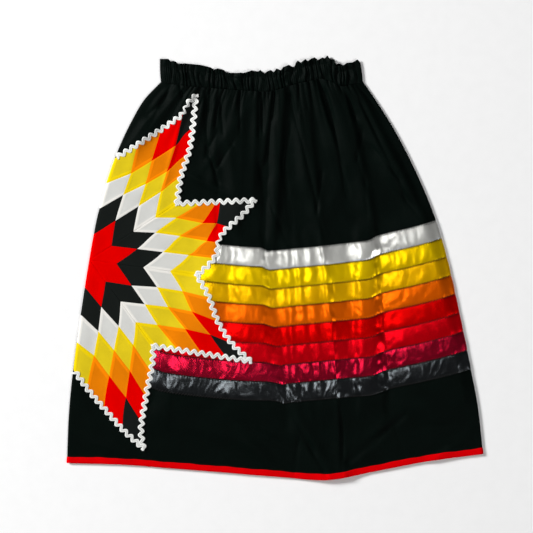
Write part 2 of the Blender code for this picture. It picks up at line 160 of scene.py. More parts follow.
# Sharp pressed-in creases: two points, depth, spread
CREASES = (
    (46, -348, 40, -396, 1.6, 2.6), (132, -352, 134, -402, 1.2, 2.4), (98, 50, 116, -40, 0.8, 2.0),
    (116, -40, 128, -270, 1.1, 2.2), (-26, 66, -8, -60, 1.2, 3.0), (194, 56, 214, -60, 1.3, 3.0),
    (214, -60, 228, -250, 1.0, 3.0), (-4, 344, -18, 190, 4.2, 7.0), (-18, 190, -20, 30, 3.0, 8.0),
    (104, 350, 142, 160, 2.6, 4.5), (-138, 344, -134, 236, 2.8, 5.0),
    (172, 330, 236, 200, 2.6, 4.5), (32, 340, 84, 130, 2.4, 4.5), (-108, 330, -104, 280, 2.2, 4.0),
    (-60, -310, 6, -350, 0.9, 4.0), (39, -298, 74, -361, 2.4, 5.0), (74, -361, 98, -405, 2.4, 5.0),
    (132, -283, 136, -371, 2.2, 3.5), (254, -297, 196, -347, 2.2, 5.0),
    (196, -347, 152, -381, 2.2, 5.0), (244, -327, 254, -357, 1.2, 3.0),
    (298, -317, 348, -313, 1.4, 4.0), (328, -361, 362, -347, 1.2, 3.0),
    (-115, 137, -116, 24, 1.8, 2.6), (-142, -275, -90, -300, 1.2, 6.0),
    (172, 267, 164, 223, 1.5, 5.0), (164, 223, 180, 171, 1.5, 5.0), (180, 171, 184, 117, 1.3, 5.0),
    (200, 235, 248, 181, 1.7, 4.0), (248, 181, 260, 143, 1.7, 4.0), (260, 143, 290, 101, 1.5, 4.0),
    (28, 277, 16, 213, 1.2, 4.0), (16, 213, 32, 91, 1.2, 4.0), (92, 187, 84, 117, 1.3, 4.0),
    (84, 117, 98, 63, 1.3, 3.5), (-30, 203, -4, 117, 1.3, 4.0), (-4, 117, 24, 53, 1.1, 4.0),
    (-124, 257, -134, 235, 1.6, 3.0), (-134, 235, -124, 207, 1.8, 3.0),
    (-124, 207, -116, 177, 1.6, 3.0), (-94, 261, -86, 249, 1.2, 3.0),
    (-86, 249, -110, 211, 1.6, 3.5), (-1, 351, -3, 308, 2.6, 3.4), (46, 364, 47, 319, 2.2, 3.0),
    (59, 364, 65, 327, 2.2, 3.0), (85, 380, 98, 340, 2.6, 3.6), (98, 340, 109, 298, 2.2, 4.0),
    (141, 356, 157, 308, 2.8, 5.0), (165, 364, 210, 314, 2.4, 3.6), (-27, 356, -25, 287, 2.2, 2.8),
    (-190, 365, -187, 352, 2.4, 3.4), (-206, 370, -223, 336, 3.0, 5.0),
    (-223, 336, -250, 309, 3.0, 6.5), (-130, 349, -130, 319, 2.2, 3.0),
    (-114, 341, -119, 293, 2.4, 3.6), (-71, 349, -70, 288, 1.8, 2.4),
    (-33, 349, -33, 277, 1.8, 3.0),
)

# Height of the cloth across the ribbons: x at their top line, x at their bottom line, height
RIBBON_PROFILE = (
    (-400, -420, 0.6), (-158, -250, 0.0), (-137, -205, 1.5), (-118, -166, 2.2),
    (-100, -132, 1.5), (-88, -110, 1.1), (-70, -84, 2.3), (-52, -62, 2.8), (-34, -30, 2.4),
    (-4, 26, 0.0),
    (6, 34, 0.3), (22, 42, 1.7), (34, 54, 1.5), (46, 66, 2.4), (56, 78, 2.1), (68, 92, 3.0),
    (80, 104, 2.6), (90, 116, 3.0), (97, 126, 4.2), (104, 134, 3.1), (126, 142, 1.9),
    (142, 152, 1.3), (154, 160, 1.5), (170, 174, 3.5), (182, 188, 3.3), (196, 206, 2.3),
    (206, 222, 0.2), (222, 240, 0.7), (244, 262, 1.9), (262, 290, 2.8), (286, 330, 3.9),
    (306, 356, 4.8), (326, 380, 5.4), (345, 400, 5.6), (420, 430, 5.6),
)

# How far the ribbons' lines are pushed up the skirt, by x at their top line
RIBBON_DRIFT = (
    (-420, 0.0), (-195, 15.0), (-175, 13.5), (-150, 9.5), (-95, 8.5), (-60, 7.0), (-28, 6.0),
    (-20, 2.0), (-14, -1.0), (10, 0.5), (40, 2.0), (90, 2.0), (130, 1.0), (165, -1.0),
    (184, -2.6), (192, -1.8), (204, 2.2), (214, 3.2), (235, 3.5), (265, 2.0), (320, 0.0),
    (430, 0.0),
)
PROFILE_TOP_Y = 37.0
PROFILE_BOTTOM_Y = -253.0

# Outline of the star's front half, down the middle of its trim
STAR_PATH = (
    ("fold", -319, 220), ("bend", -252, 262), ("bend", -208, 291), ("bend", -186, 308),
    ("bend", -174, 330), ("tip", -158, 345), ("bend", -163, 294), ("bend", -171, 237),
    ("bend", -188, 182), ("notch", -196, 130), ("tip", -41, 136), ("bend", -66, 106),
    ("bend", -88, 87), ("bend", -106, 68), ("bend", -114, 50), ("bend", -116, 31),
    ("bend", -128, 12), ("notch", -156, -13), ("bend", -133, -55), ("bend", -114, -106),
    ("bend", -85, -151), ("tip", -49, -185), ("notch", -243, -155), ("bend", -244, -180),
    ("bend", -258, -257), ("bend", -267, -335), ("tip", -263, -359), ("bend", -299, -327),
    ("bend", -336, -286), ("bend", -372, -244), ("fold", -402, -203),
)
STAR_CENTRE_Y = 17.0

# Width of the braid's map across its section, in metres
BRAID_MAP_WIDTH = 0.012

# Where the star's seams cross off their even places: arm, crossing, then its shift in x and y
CROSSING_SHIFTS = (
    (0, 1, 1, -2, -1), (0, 3, 1, 2, -8), (0, 2, 2, -2, -6), (0, 3, 2, -2, -10), (0, 2, 3, -5, -9),
    (0, 3, 3, 1, -8), (0, 4, 3, 5, 3), (0, 4, 2, 4, 2), (0, 3, 4, 0, -8), (0, 2, 4, 0, -5),
    (1, 4, 1, 10, 0), (1, 4, 2, 2, 0), (1, 4, 3, -30, -1), (1, 3, 3, -2, -10), (1, 3, 2, 11, -10),
    (1, 2, 3, 15, -13), (1, 3, 4, -19, -17), (1, 2, 4, -7, -14), (1, 2, 2, 5, -5),
    (2, 0, 2, -2, 3), (2, 0, 3, -4, 5), (2, 1, 2, -2, 7), (2, 1, 3, -8, 9), (2, 2, 2, -4, 11),
    (2, 2, 3, 1, 10), (2, 3, 2, -4, 11), (2, 3, 3, 4, 8), (2, 2, 1, -1, 5), (2, 3, 1, -2, 5),
    (3, 2, 0, -2, 3), (3, 3, 0, -4, 5), (3, 1, 1, 0, 4), (3, 1, 2, 4, 10), (3, 2, 1, 2, 8),
    (3, 1, 3, 4, 17), (3, 2, 2, 3, 14), (3, 3, 1, -2, 13), (3, 3, 2, 2, 14), (3, 2, 3, 3, 16),
    (3, 3, 3, 4, 13), (3, 1, 4, -5, 6), (3, 2, 4, -5, 6), (3, 3, 4, -3, 4),
)

# Soft swells of the front: height, size of a bump, seed, and share that the ribbons still
SWELLS = ((0.9, 90.0, 3.0, 0.0), (0.5, 34.0, 9.0, 0.6), (0.22, 15.0, 17.0, 0.6))

# Sway of the profile's lines on the front: reach, size of a bump, seed
SWAYS = ((4.5, 26.0, 41.0), (2.2, 11.0, 43.0))

# Grains of the satin: span across a ribbon, size of a bump, first seed, seed step
SCALLOP_GRAIN = (30.0, 21.0, 91.0, 1.0)
PATCH_GRAIN = (10.0, 48.0, 11.0, 3.0)
CREASE_GRAIN = (24.0, 19.0, 83.0, 1.0)

# Buckles of the satin: height, grain, and whether they are everywhere or in patches
BUCKLES = (
    (0.42, 16.0, 15.0, 31.0, 7.0, True),
    (0.26, 15.0, 7.5, 53.0, 5.0, False),
    (0.06, 20.0, 4.2, 71.0, 3.0, False),
)

# Where the trim turns on its edge and looks narrow
TRIM_TWISTS = ((-180, 319), (-112, 57))

RIBBON_NAMES = ("white", "yellow", "gold", "orange", "red", "crimson", "burgundy", "black")


def smooth_table(rows: Sequence[Sequence[float]], column: int,
                 steps: int = 600) -> tuple[Array, Array]:
    """Sample a smooth curve through one column of a table.

    Args:
        rows: Table whose first column rises.
        column: Column to read.
        steps: Number of samples.

    Returns:
        Sampled first column and sampled values.
    """
    table = np.array(rows, float)
    keys, values = table[:, 0], table[:, column]
    slopes = np.gradient(values, keys)
    at = np.linspace(keys[0], keys[-1], steps)
    cell = np.clip(np.searchsorted(keys, at, side="right") - 1, 0, len(keys) - 2)
    span = keys[cell + 1] - keys[cell]
    way = (at - keys[cell]) / span
    square, cube = way ** 2, way ** 3
    leave = (cube - 2 * square + way) * span * slopes[cell]
    arrive = (cube - square) * span * slopes[cell + 1]
    blend = 3 * square - 2 * cube
    return at, (1 - blend) * values[cell] + blend * values[cell + 1] + leave + arrive


def smooth_step(value: Array, low: float, high: float) -> Array:
    """Rise smoothly from 0 at low to 1 at high."""
    way = np.clip((value - low) / (high - low), 0.0, 1.0)
    return way * way * (3.0 - 2.0 * way)


def window(value: Array, rise: tuple[float, float], fall: tuple[float, float]) -> Array:
    """Rise smoothly from 0 to 1 over one stretch and fall back over another."""
    return smooth_step(value, *rise) * (1.0 - smooth_step(value, *fall))


def bell(distance: Array, spread: Array | float, power: float = 2.0) -> Array:
    """One at a distance of nought, fading to nought past the spread."""
    return np.exp(-np.abs(distance / spread) ** power)


def round_wave(phase: Array) -> Array:
    """Swing from 0 to 1 and back with each whole step of a phase."""
    return (1.0 - np.cos(2.0 * math.pi * phase)) / 2.0


def noise_field(x: Array, y: Array, scale: float, seed: float) -> Array:
    """Smooth noise from -1 to 1 over plan points, with bumps of a scale and a seeded pattern."""
    flat = zip((x / scale).ravel(), (y / scale).ravel())
    return np.array([noise.noise(Vector((a, b, seed))) for a, b in flat]).reshape(x.shape)


def scatter(index: Array, seed: float) -> Array:
    """Even spread of values from 0 to 1 that depends on a whole number."""
    index_turn, seed_turn, stretch = 12.9898, 78.233, 43758.5453
    return np.modf(np.abs(np.sin(index * index_turn + seed * seed_turn)) * stretch)[0]


def varied(index: Array, seed: float, least: float, spread: float, power: float = 1.0) -> Array:
    """Value for a whole number, from the least upwards, with small ones likelier by a power."""
    return least + spread * scatter(index, seed) ** power


def pulled_about(across: Array, waves: Sequence[Point]) -> Array:
    """Pull evenly spaced shares about by waves of a swing, a count of half turns and a start."""
    return across + sum(swing * np.sin(halves * math.pi * across + start)
                        for swing, halves, start in waves)


def run_lengths(line: Array) -> Array:
    """Length of a line up to each of its points."""
    return np.concatenate([[0.0], np.cumsum(np.linalg.norm(np.diff(line, axis=0), axis=1))])


def points_at(line: Array, at: Array) -> Array:
    """Points of a line at lengths along it, held at its ends."""
    steps = run_lengths(line)
    return np.stack([np.interp(at, steps, line[:, 0]), np.interp(at, steps, line[:, 1])], axis=-1)


def smooth_line(points: Array, steps: int = 24) -> Array:
    """Draw a smooth line through points.

    Args:
        points: Plan points from one corner to the next.
        steps: Samples for each point.

    Returns:
        The sampled line.
    """
    if len(points) == 2:
        return np.linspace(points[0], points[1], steps * 2)
    rows = np.column_stack([run_lengths(points), points])
    count = steps * len(points)
    return np.stack([smooth_table(rows, column, count)[1] for column in (1, 2)], axis=-1)


@dataclass
class Lay:
    """How the tube lies: its plan, its folds and the heights of its two faces."""

    length: float = 790.0
    waist_y: float = 373.0
    front_face: float = 4.2
    back_face: float = 1.3
    fold_line: float = 2.7
    fold_round: float = 5.0
    fold_fullness: float = 0.6
    fold_calm: float = 26.0
    gathers: int = 25
    gather_rise: float = 4.8
    gather_waves: Waves = ((0.010, 10.6, 0.0), (0.006, 23.4, 1.0))
    gather_lean: float = 0.010
    gather_lean_wave: tuple[float, float] = (17.0, 2.0)
    gather_rises: tuple[float, float] = (0.25, 0.95)
    gather_reaches: Point = (0.035, 0.15, 2.0)
    gather_sharpness: tuple[float, float] = (0.7, 6.0)
    gather_fade: float = 1.4
    fine_rise: float = 1.3
    fine_reach: float = 0.05
    fine_fade: float = 1.5
    fine_start: float = 0.3
    pinches: int = 41
    pinch_depth: float = 4.6
    pinch_waves: Waves = ((0.006, 15.0, 0.0),)
    pinch_lean: float = 0.05
    pinch_width: tuple[float, float] = (1.8, 24.0)
    pinch_reaches: Point = (0.015, 0.09, 2.0)
    back_rise: float = 0.9
    back_waves: Waves = ((0.007, 16.0, 2.0),)
    back_swell: float = 0.125
    back_bump: float = 60.0
    back_rises: tuple[float, float] = (0.4, 0.6)
    back_reaches: tuple[float, float] = (0.04, 0.12)
    ribbon_rise: tuple[float, float] = (0.33, 0.40)
    ribbon_fall: tuple[float, float] = (0.79, 0.90)
    lift_limit: float = 8.5
    lowest_lift: float = -0.6
    seam_dip_reach: float = 0.3
    hem_dip_start: float = 0.8
    fold_strength: float = 2.0
    fold_growth: float = 0.25
    calm_share: float = 0.8
    calm_rise: tuple[float, float] = (0.30, 0.40)
    calm_fall: tuple[float, float] = (0.80, 0.88)
    fold_fade: float = 34.0
    crease_fade: float = 14.0
    fold_flank: float = 1.6
    crease_flank: float = 1.4
    profile_strength: float = 1.95
    search_steps: int = 24
    search_stride: float = 0.8
    tables: dict[str, tuple[Array, Array]] = field(default_factory=dict)

    def __post_init__(self) -> None:
        """Sample the tables once."""
        for column, name in enumerate(("left_x", "left_y", "right_x", "right_y"), start=1):
            self.tables[name] = smooth_table(SIDE_FOLDS, column)
        for name, rows in (("seam", SEAM_DIP), ("sag", BODY_SAG), ("hem", HEM_DIP)):
            self.tables[name] = smooth_table(rows, 1)
        self.tables["profile"] = smooth_table(RIBBON_PROFILE, 2, 1200)

    def read(self, name: str, share: Array) -> Array:
        """Read a sampled table."""
        return np.interp(share, *self.tables[name])

    def width(self, down: Array) -> Array:
        """Width of the laid tube at a share down."""
        return self.read("right_x", down) - self.read("left_x", down)

    def plan(self, across: Array, down: Array, side: Side = Side.FRONT) -> tuple[Array, Array]:
        """Plan point of a share across and a share down.

        Args:
            across: Share from the left fold to the right one.
            down: Share from the waist seam to the hem.
            side: Front or back; the front's folds push its ribbons up and down.

        Returns:
            Plan x and y.
        """
        left_y, right_y = self.read("left_y", down), self.read("right_y", down)
        sag = self.read("sag", down) * 4.0 * across * (1.0 - across)
        waist = np.maximum(0.0, 1.0 - down / self.seam_dip_reach) ** 2 * self.read("seam", across)
        hem = smooth_step(down, self.hem_dip_start, 1.0)
        drop = (sag + waist) * (1.0 - hem) + hem * self.read("hem", across)
        x = self.read("left_x", down) + self.width(down) * across
        y = left_y + (right_y - left_y) * across - drop
        if side is Side.FRONT:
            drift = np.interp(self.ribbon_x(x, y), *np.array(RIBBON_DRIFT).T)
            y = y + drift * self.ribbon_window(down)
        return x, y

    @staticmethod
    def ribbon_x(x: Array, y: Array) -> Array:
        """Follow plan points up the folds to the ribbons' top line.

        Args:
            x: Plan x.
            y: Plan y.

        Returns:
            Plan x at the top line.
        """
        way = (PROFILE_TOP_Y - y) / (PROFILE_TOP_Y - PROFILE_BOTTOM_Y)
        top, bottom = np.array(RIBBON_PROFILE, float)[:, :2].T
        return x - np.interp(x, (top + bottom) / 2.0, bottom - top) * way

    def ribbon_window(self, down: Array) -> Array:
        """One where the ribbons lie, fading to nought above and below them."""
        return window(down, self.ribbon_rise, self.ribbon_fall)

    def locate(self, x: Array, y: Array, side: Side) -> tuple[Array, Array]:
        """Find the shares of plan points by stepping towards them.

        Args:
            x: Plan x.
            y: Plan y.
            side: Front or back.

        Returns:
            Shares across and down.
        """
        across = np.full(x.shape, 0.5)
        down = np.clip((self.waist_y - y) / self.length, 0.0, 1.0)
        for _ in range(self.search_steps):
            px, py = self.plan(across, down, side)
            step_across = self.search_stride * (x - px) / self.width(down)
            across = np.clip(across + step_across, 0.0, 1.0)
            down = np.clip(down - self.search_stride * (y - py) / self.length, 0.0, 1.0)
        return across, down

    def gather_lift(self, across: Array, down: Array) -> Array:
        """Height of the gathers under the waist seam, each with its own rise and reach.

        Args:
            across: Share across.
            down: Share down.

        Returns:
            Broad gathers and fine ones between them, less the grooves of the pinches.
        """
        wave, start = self.gather_lean_wave
        lean = self.gather_lean * down * np.sin(wave * across + start)
        phase = (pulled_about(across, self.gather_waves) + lean) * self.gathers
        index = np.floor(phase)
        rise = self.gather_rise * varied(index, 1.0, *self.gather_rises)
        reach = varied(index, 2.0, *self.gather_reaches)
        blunt, sharpening = self.gather_sharpness
        broad = rise * np.abs(np.sin(math.pi * phase)) ** (blunt + sharpening * down)
        broad *= bell(down, reach, self.gather_fade)
        phase = 2.0 * phase + self.fine_start
        fine = self.fine_rise * round_wave(phase) * scatter(np.floor(phase), 3.0)
        fine *= bell(down, self.fine_reach, self.fine_fade)
        phase = (pulled_about(across, self.pinch_waves) + self.pinch_lean * down) * self.pinches
        pinch = np.rint(phase)
        beside = (phase - pinch) * WAIST_WIDTH / self.pinches
        narrow, widening = self.pinch_width
        reach = varied(pinch, 5.0, *self.pinch_reaches)
        groove = self.pinch_depth * scatter(pinch, 4.0) * bell(beside, narrow + widening * down)
        return broad + fine - groove * bell(down, reach)

    def fold_lift(self, x: Array, y: Array) -> Array:
        """Height of the long folds and depth of the creases.

        Args:
            x: Plan x.
            y: Plan y.

        Returns:
            Height at each point.
        """
        total = np.zeros(x.shape)
        for x0, y0, x1, y1, rise, left, right in FOLDS:
            along, beside, past = self.beside_line(x, y, (x0, y0), (x1, y1))
            spread = np.where(beside < 0.0, right, left) * (1.0 + self.fold_growth * along)
            total += rise * bell(beside, spread, self.fold_flank) * bell(past, self.fold_fade)
        for x0, y0, x1, y1, depth, spread in CREASES:
            _, beside, past = self.beside_line(x, y, (x0, y0), (x1, y1))
            groove = depth * bell(beside, spread, self.crease_flank)
            total -= groove * bell(past, self.crease_fade)
        return total

    @staticmethod
    def beside_line(x: Array, y: Array, start: tuple[float, float],
                    end: tuple[float, float]) -> tuple[Array, Array, Array]:
        """Where plan points lie beside a line.

        Args:
            x: Plan x.
            y: Plan y.
            start: First end of the line.
            end: Second end of the line.

        Returns:
            Share along the line, signed distance (positive on its left going down), and the
            distance past its ends.
        """
        run = np.array([end[0] - start[0], end[1] - start[1]], float)
        length = float(np.hypot(*run))
        run /= length
        along = (x - start[0]) * run[0] + (y - start[1]) * run[1]
        beside = (x - start[0]) * run[1] - (y - start[1]) * run[0]
        past = np.maximum(np.maximum(-along, along - length), 0.0)
        return np.clip(along / length, 0.0, 1.0), beside, past

    def profile_lift(self, x: Array, y: Array, down: Array) -> Array:
        """Height of the cloth under the ribbons, from its profile across.

        Args:
            x: Plan x.
            y: Plan y.
            down: Share down.

        Returns:
            Height at each point.
        """
        sway = sum(reach * noise_field(x, y, scale, seed) for reach, scale, seed in SWAYS)
        height = self.read("profile", self.ribbon_x(x, y) + sway)
        return self.profile_strength * height * self.ribbon_window(down)

    def lift(self, x: Array, y: Array, across: Array, down: Array) -> Array:
        """Height of the front cloth over where it would lie with no folds.

        Args:
            x: Plan x.
            y: Plan y.
            across: Share across.
            down: Share down.

        Returns:
            Height at each point, softly limited.
        """
        calm = self.calm_share * window(down, self.calm_rise, self.calm_fall)
        folds = self.fold_strength * (1.0 - calm)
        total = self.gather_lift(across, down) + folds * self.fold_lift(x, y)
        total += self.profile_lift(x, y, down)
        for height, scale, seed, stilled in SWELLS:
            height = height * (1.0 - stilled * self.ribbon_window(down))
            total += height * noise_field(x, y, scale, seed)
        return self.lift_limit * np.tanh(np.maximum(total, self.lowest_lift) / self.lift_limit)

    def back_relief(self, x: Array, y: Array, across: Array, down: Array) -> Array:
        """How far the back cloth is pulled up off the surface by its own gathers.

        Args:
            x: Plan x.
            y: Plan y.
            across: Share across.
            down: Share down.

        Returns:
            Height at each point.
        """
        phase = pulled_about(across, self.back_waves) * self.gathers
        index = np.floor(phase)
        wave = self.back_rise * round_wave(phase) * varied(index, 5.0, *self.back_rises)
        swell = self.back_swell * (1.0 + noise_field(x, y, self.back_bump, 21.0))
        reach = varied(index, 6.0, *self.back_reaches)
        return wave * bell(down, reach, self.gather_fade) + swell

    def turn_over(self, side: Side, across: Array, near: Array, plan: tuple[Array, Array],
                  face: Array, height: Array | float) -> Array:
        """Points at a height over a face that turns over at the side folds.

        Args:
            side: Front or back of the tube.
            across: Share across, which tells the left fold from the right one.
            near: Distance to the nearer fold.
            plan: Plan x and y.
            face: Height of the face away from the folds.
            height: Height over the face, outward.

        Returns:
            Points as rows of x, y, z.
        """
        x, y = plan
        turn = (1.0 - np.clip(near / self.fold_round, 0.0, 1.0)) * math.pi / 2.0
        outward = np.where(across < 0.5, -1.0, 1.0)
        z = self.fold_line + (face - self.fold_line) * np.cos(turn) ** self.fold_fullness
        z = z + side.pick(1.0, -1.0) * height * np.cos(turn)
        return np.stack([x + outward * (height * np.sin(turn)), y, z], axis=-1)

    def on_cloth(self, side: Side, across: Array, down: Array, height: Array | float) -> Array:
        """Points at a height over the cloth's outer face, turned over at the side folds.

        Args:
            side: Front or back of the tube.
            across: Share across.
            down: Share down.
            height: Height over the cloth, outward.

        Returns:
            Points as rows of x, y, z.
        """
        x, y = self.plan(across, down, side)
        near = np.minimum(across, 1.0 - across) * self.width(down)
        relief = self.lift if side is Side.FRONT else self.back_relief
        face = side.pick(self.front_face, self.back_face)
        face = face + relief(x, y, across, down) * smooth_step(near, 0.0, self.fold_calm)
        return self.turn_over(side, across, near, (x, y), face, height)

    def at_plan(self, side: Side, x: Array, y: Array, height: Array) -> Array:
        """Points over the cloth at plan points."""
        return self.on_cloth(side, *self.locate(x, y, side), height)


@dataclass(frozen=True)
class Finish:
    """A finish of its own name and linear colour."""

    name: str
    colour: Colour

    def inputs(self, tree: Tree) -> Inputs:
        """What goes into the shader."""
        raise NotImplementedError

    def make(self) -> Material:
        """Build the material.

        Returns:
            The material.
        """
        material, tree, shader = new_material(self.name)
        fill_inputs(tree, shader, self.inputs(tree))
        return material


@dataclass(frozen=True)
class CottonFinish(Finish):
    """Plain woven cotton with a fine weave and slight unevenness of its dye."""

    roughness: float = 0.85
    gloss: float = 0.0
    thread: float = 0.45
    unevenness: float = 0.14
    weave_depth: float = 0.25
    wrinkle_share: float = 1.6
    allowance: Colour | None = None

    def inputs(self, tree: Tree) -> Inputs:
        """What goes into the shader.

        Args:
            tree: The material's nodes.

        Returns:
            The shader's inputs, brighter where a seam allowance lies double under the cloth.
        """
        place = add_node(tree, "TexCoord").outputs["Object"]
        weave = weave_height(tree, place, self.thread)
        wrinkle = noise_value(tree, place, scale=60.0, detail=4.0)
        heights = {0: wrinkle, 1: self.wrinkle_share, 2: weave}
        height = add_node(tree, "Math", heights, operation="MULTIPLY_ADD").outputs[0]
        dye = noise_value(tree, place, scale=25.0, detail=6.0)
        body = uneven_colour(tree, dye, self.colour, self.unevenness)
        if self.allowance is not None:
            band = add_node(tree, "Attribute", attribute_name="allowance").outputs["Fac"]
            body = mixed(tree, band, body, (*self.allowance, 1.0))
        return {"Base Color": body, "Roughness": self.roughness, "Specular IOR Level": self.gloss,
                "Normal": raised(tree, height, self.weave_depth, depth=0.4)}


@dataclass(frozen=True)
class SatinFinish(Finish):
    """Satin ribbon: a dyed gloss that gathers along its length, with fine ribs across."""

    gloss: float = 0.66
    roughness: float = 0.27
    streak: float = 0.45
    unevenness: float = 0.10

    def inputs(self, tree: Tree) -> Inputs:
        """What goes into the shader.

        Args:
            tree: The material's nodes.

        Returns:
            The shader's inputs.
        """
        grain = add_node(tree, "Tangent", direction_type="UV_MAP", uv_map="UVMap")
        place = add_node(tree, "TexCoord").outputs["UV"]
        stretch = add_node(tree, "Mapping", {"Vector": place, "Scale": (1.0, 9.0, 1.0)})
        rib = noise_value(tree, stretch.outputs["Vector"], scale=260.0, detail=2.0)
        dye = noise_value(tree, place, scale=22.0, detail=3.0)
        return {"Base Color": uneven_colour(tree, dye, self.colour, self.unevenness),
                "Metallic": self.gloss, "Roughness": self.roughness, "Anisotropic": self.streak,
                "Specular IOR Level": 0.08, "Tangent": grain.outputs["Tangent"],
                "Normal": raised(tree, rib, strength=0.10, depth=0.3)}


@dataclass(frozen=True)
class BraidFinish(Finish):
    """Woven wavy braid: diagonal plait marks, and painted shade down the middle of its map, where
    its groove lies.
    """

    # Painted shade: the share of brightness left in the middle of the braid, where its groove
    # lies.
    groove: float = 0.62
    painted_shade_marks: tuple[float, float, float] = (0.35, 0.444, 0.54)

    def inputs(self, tree: Tree) -> Inputs:
        """What goes into the shader.

        Args:
            tree: The material's nodes.

        Returns:
            The shader's inputs.
        """
        place = add_node(tree, "TexCoord").outputs["UV"]
        waves = {"Vector": place, "Scale": 420.0, "Distortion": 1.5, "Detail": 1.0}
        plait = add_node(tree, "TexWave", waves, bands_direction="DIAGONAL").outputs["Fac"]
        body = uneven_colour(tree, plait, self.colour, spread=0.10)
        # Painted shade: the colour is darkened down the middle of the braid's width, in its
        # groove.
        across = add_node(tree, "SeparateXYZ", {"Vector": place}).outputs["Y"]
        share = {"Value": across, "From Min": 0.0, "From Max": BRAID_MAP_WIDTH}
        share = add_node(tree, "MapRange", share).outputs["Result"]
        shade = add_node(tree, "ValToRGB", {"Fac": share})
        marks = shade.color_ramp.elements
        start, middle, end = self.painted_shade_marks
        marks[0].position, marks[1].position = start, end
        marks.new(middle).color = (self.groove, self.groove, self.groove, 1.0)
        marks[0].color = marks[2].color = (1.0, 1.0, 1.0, 1.0)
        body = mixed(tree, 1.0, body, shade.outputs["Color"], "MULTIPLY")
        return {"Base Color": body, "Roughness": 0.7, "Sheen Weight": 0.15,
                "Normal": raised(tree, plait, strength=0.07, depth=0.4)}


@dataclass(frozen=True)
class ThreadFinish(Finish):
    """Spun sewing thread with a twist."""

    def inputs(self, tree: Tree) -> Inputs:
        """What goes into the shader.

        Args:
            tree: The material's nodes.

        Returns:
            The shader's inputs.
        """
        waves = {"Vector": add_node(tree, "TexCoord").outputs["Object"], "Scale": 900.0}
        twist = add_node(tree, "TexWave", waves, bands_direction="DIAGONAL").outputs["Fac"]
        body = uneven_colour(tree, twist, self.colour, spread=0.2)
        return {"Base Color": body, "Roughness": 0.6, "Specular IOR Level": 0.1}


@dataclass(frozen=True)
class PaperFinish(Finish):
    """Matt paper with a faint grain."""

    def inputs(self, tree: Tree) -> Inputs:
        """What goes into the shader.

        Args:
            tree: The material's nodes.

        Returns:
            The shader's inputs.
        """
        place = add_node(tree, "TexCoord").outputs["Object"]
        grain = noise_value(tree, place, scale=40.0, detail=2.0)
        body = uneven_colour(tree, grain, self.colour, spread=0.01)
        return {"Base Color": body, "Roughness": 0.9}


def new_material(name: str) -> tuple[Material, Tree, Node]:
    """Start a material.

    Args:
        name: Its name.

    Returns:
        The material, its tree and its shader.
    """
    material = bpy.data.materials.new(name)
    material.use_nodes = True
    return material, material.node_tree, material.node_tree.nodes["Principled BSDF"]


def fill_inputs(tree: Tree, node: Node, inputs: Inputs) -> None:
    """Fill a node's inputs.

    Args:
        tree: The material's nodes.
        node: The node.
        inputs: A value, or a socket to link, for each input.
    """
    for key, value in inputs.items():
        if isinstance(value, Socket):
            tree.links.new(value, node.inputs[key])
        else:
            node.inputs[key].default_value = value


def add_node(tree: Tree, kind: str, inputs: Inputs | None = None, **settings: str) -> Node:
    """Add a node.

    Args:
        tree: The material's nodes.
        kind: Kind of shader node.
        inputs: A value, or a socket to link, for each input.
        **settings: The node's own settings, which go in first.

    Returns:
        The node.
    """
    node = tree.nodes.new("ShaderNode" + kind)
    for key, value in settings.items():
        setattr(node, key, value)
    fill_inputs(tree, node, inputs or {})
    return node


def noise_value(tree: Tree, vector: Socket, scale: float, detail: float) -> Socket:
    """Add a noise texture on a vector and return its value."""
    inputs = {"Vector": vector, "Scale": scale, "Detail": detail}
    return add_node(tree, "TexNoise", inputs).outputs["Fac"]


def raised(tree: Tree, height: Socket, strength: float, depth: float) -> Socket:
    """Turn a height into a normal, for relief of a depth in millimetres."""
    inputs = {"Height": height, "Strength": strength, "Distance": depth * MM}
    return add_node(tree, "Bump", inputs).outputs["Normal"]


def mixed(tree: Tree, factor: Socket | float, low: Socket, high: Socket | tuple[float, ...],
          blend: str = "MIX") -> Socket:
    """Mix two colours by a factor."""
    inputs = {"Factor": factor, "A": low, "B": high}
    return add_node(tree, "Mix", inputs, data_type="RGBA", blend_type=blend).outputs["Result"]


def weave_height(tree: Tree, vector: Socket, thread: float) -> Socket:
    """Height of a plain weave: warp and weft waves, one thread wide.

    Args:
        tree: The material's nodes.
        vector: Coordinates in metres.
        thread: Width of a thread in millimetres.

    Returns:
        Socket with the height.
    """
    scale = math.pi / (10.0 * thread * MM)
    inputs = {"Vector": vector, "Scale": scale, "Distortion": 0.6}
    warp, weft = (add_node(tree, "TexWave", inputs, bands_direction=direction).outputs["Fac"]
                  for direction in ("X", "Y"))
    return add_node(tree, "Math", {0: warp, 1: weft}, operation="MAXIMUM").outputs[0]


def uneven_colour(tree: Tree, factor: Socket, colour: Colour, spread: float) -> Socket:
    """Vary a colour a little about its own value.

    Args:
        tree: The material's nodes.
        factor: Value that picks the shade.
        colour: Linear colour.
        spread: Share by which the shade goes down and up.

    Returns:
        Socket with the colour.
    """
    ramp = add_node(tree, "ValToRGB", {"Fac": factor})
    for mark, position, way in zip(ramp.color_ramp.elements, (0.3, 0.7), (-1.0, 1.0)):
        mark.position = position
        mark.color = (*(min(channel * (1.0 + way * spread), 1.0) for channel in colour), 1.0)
    return ramp.outputs["Color"]


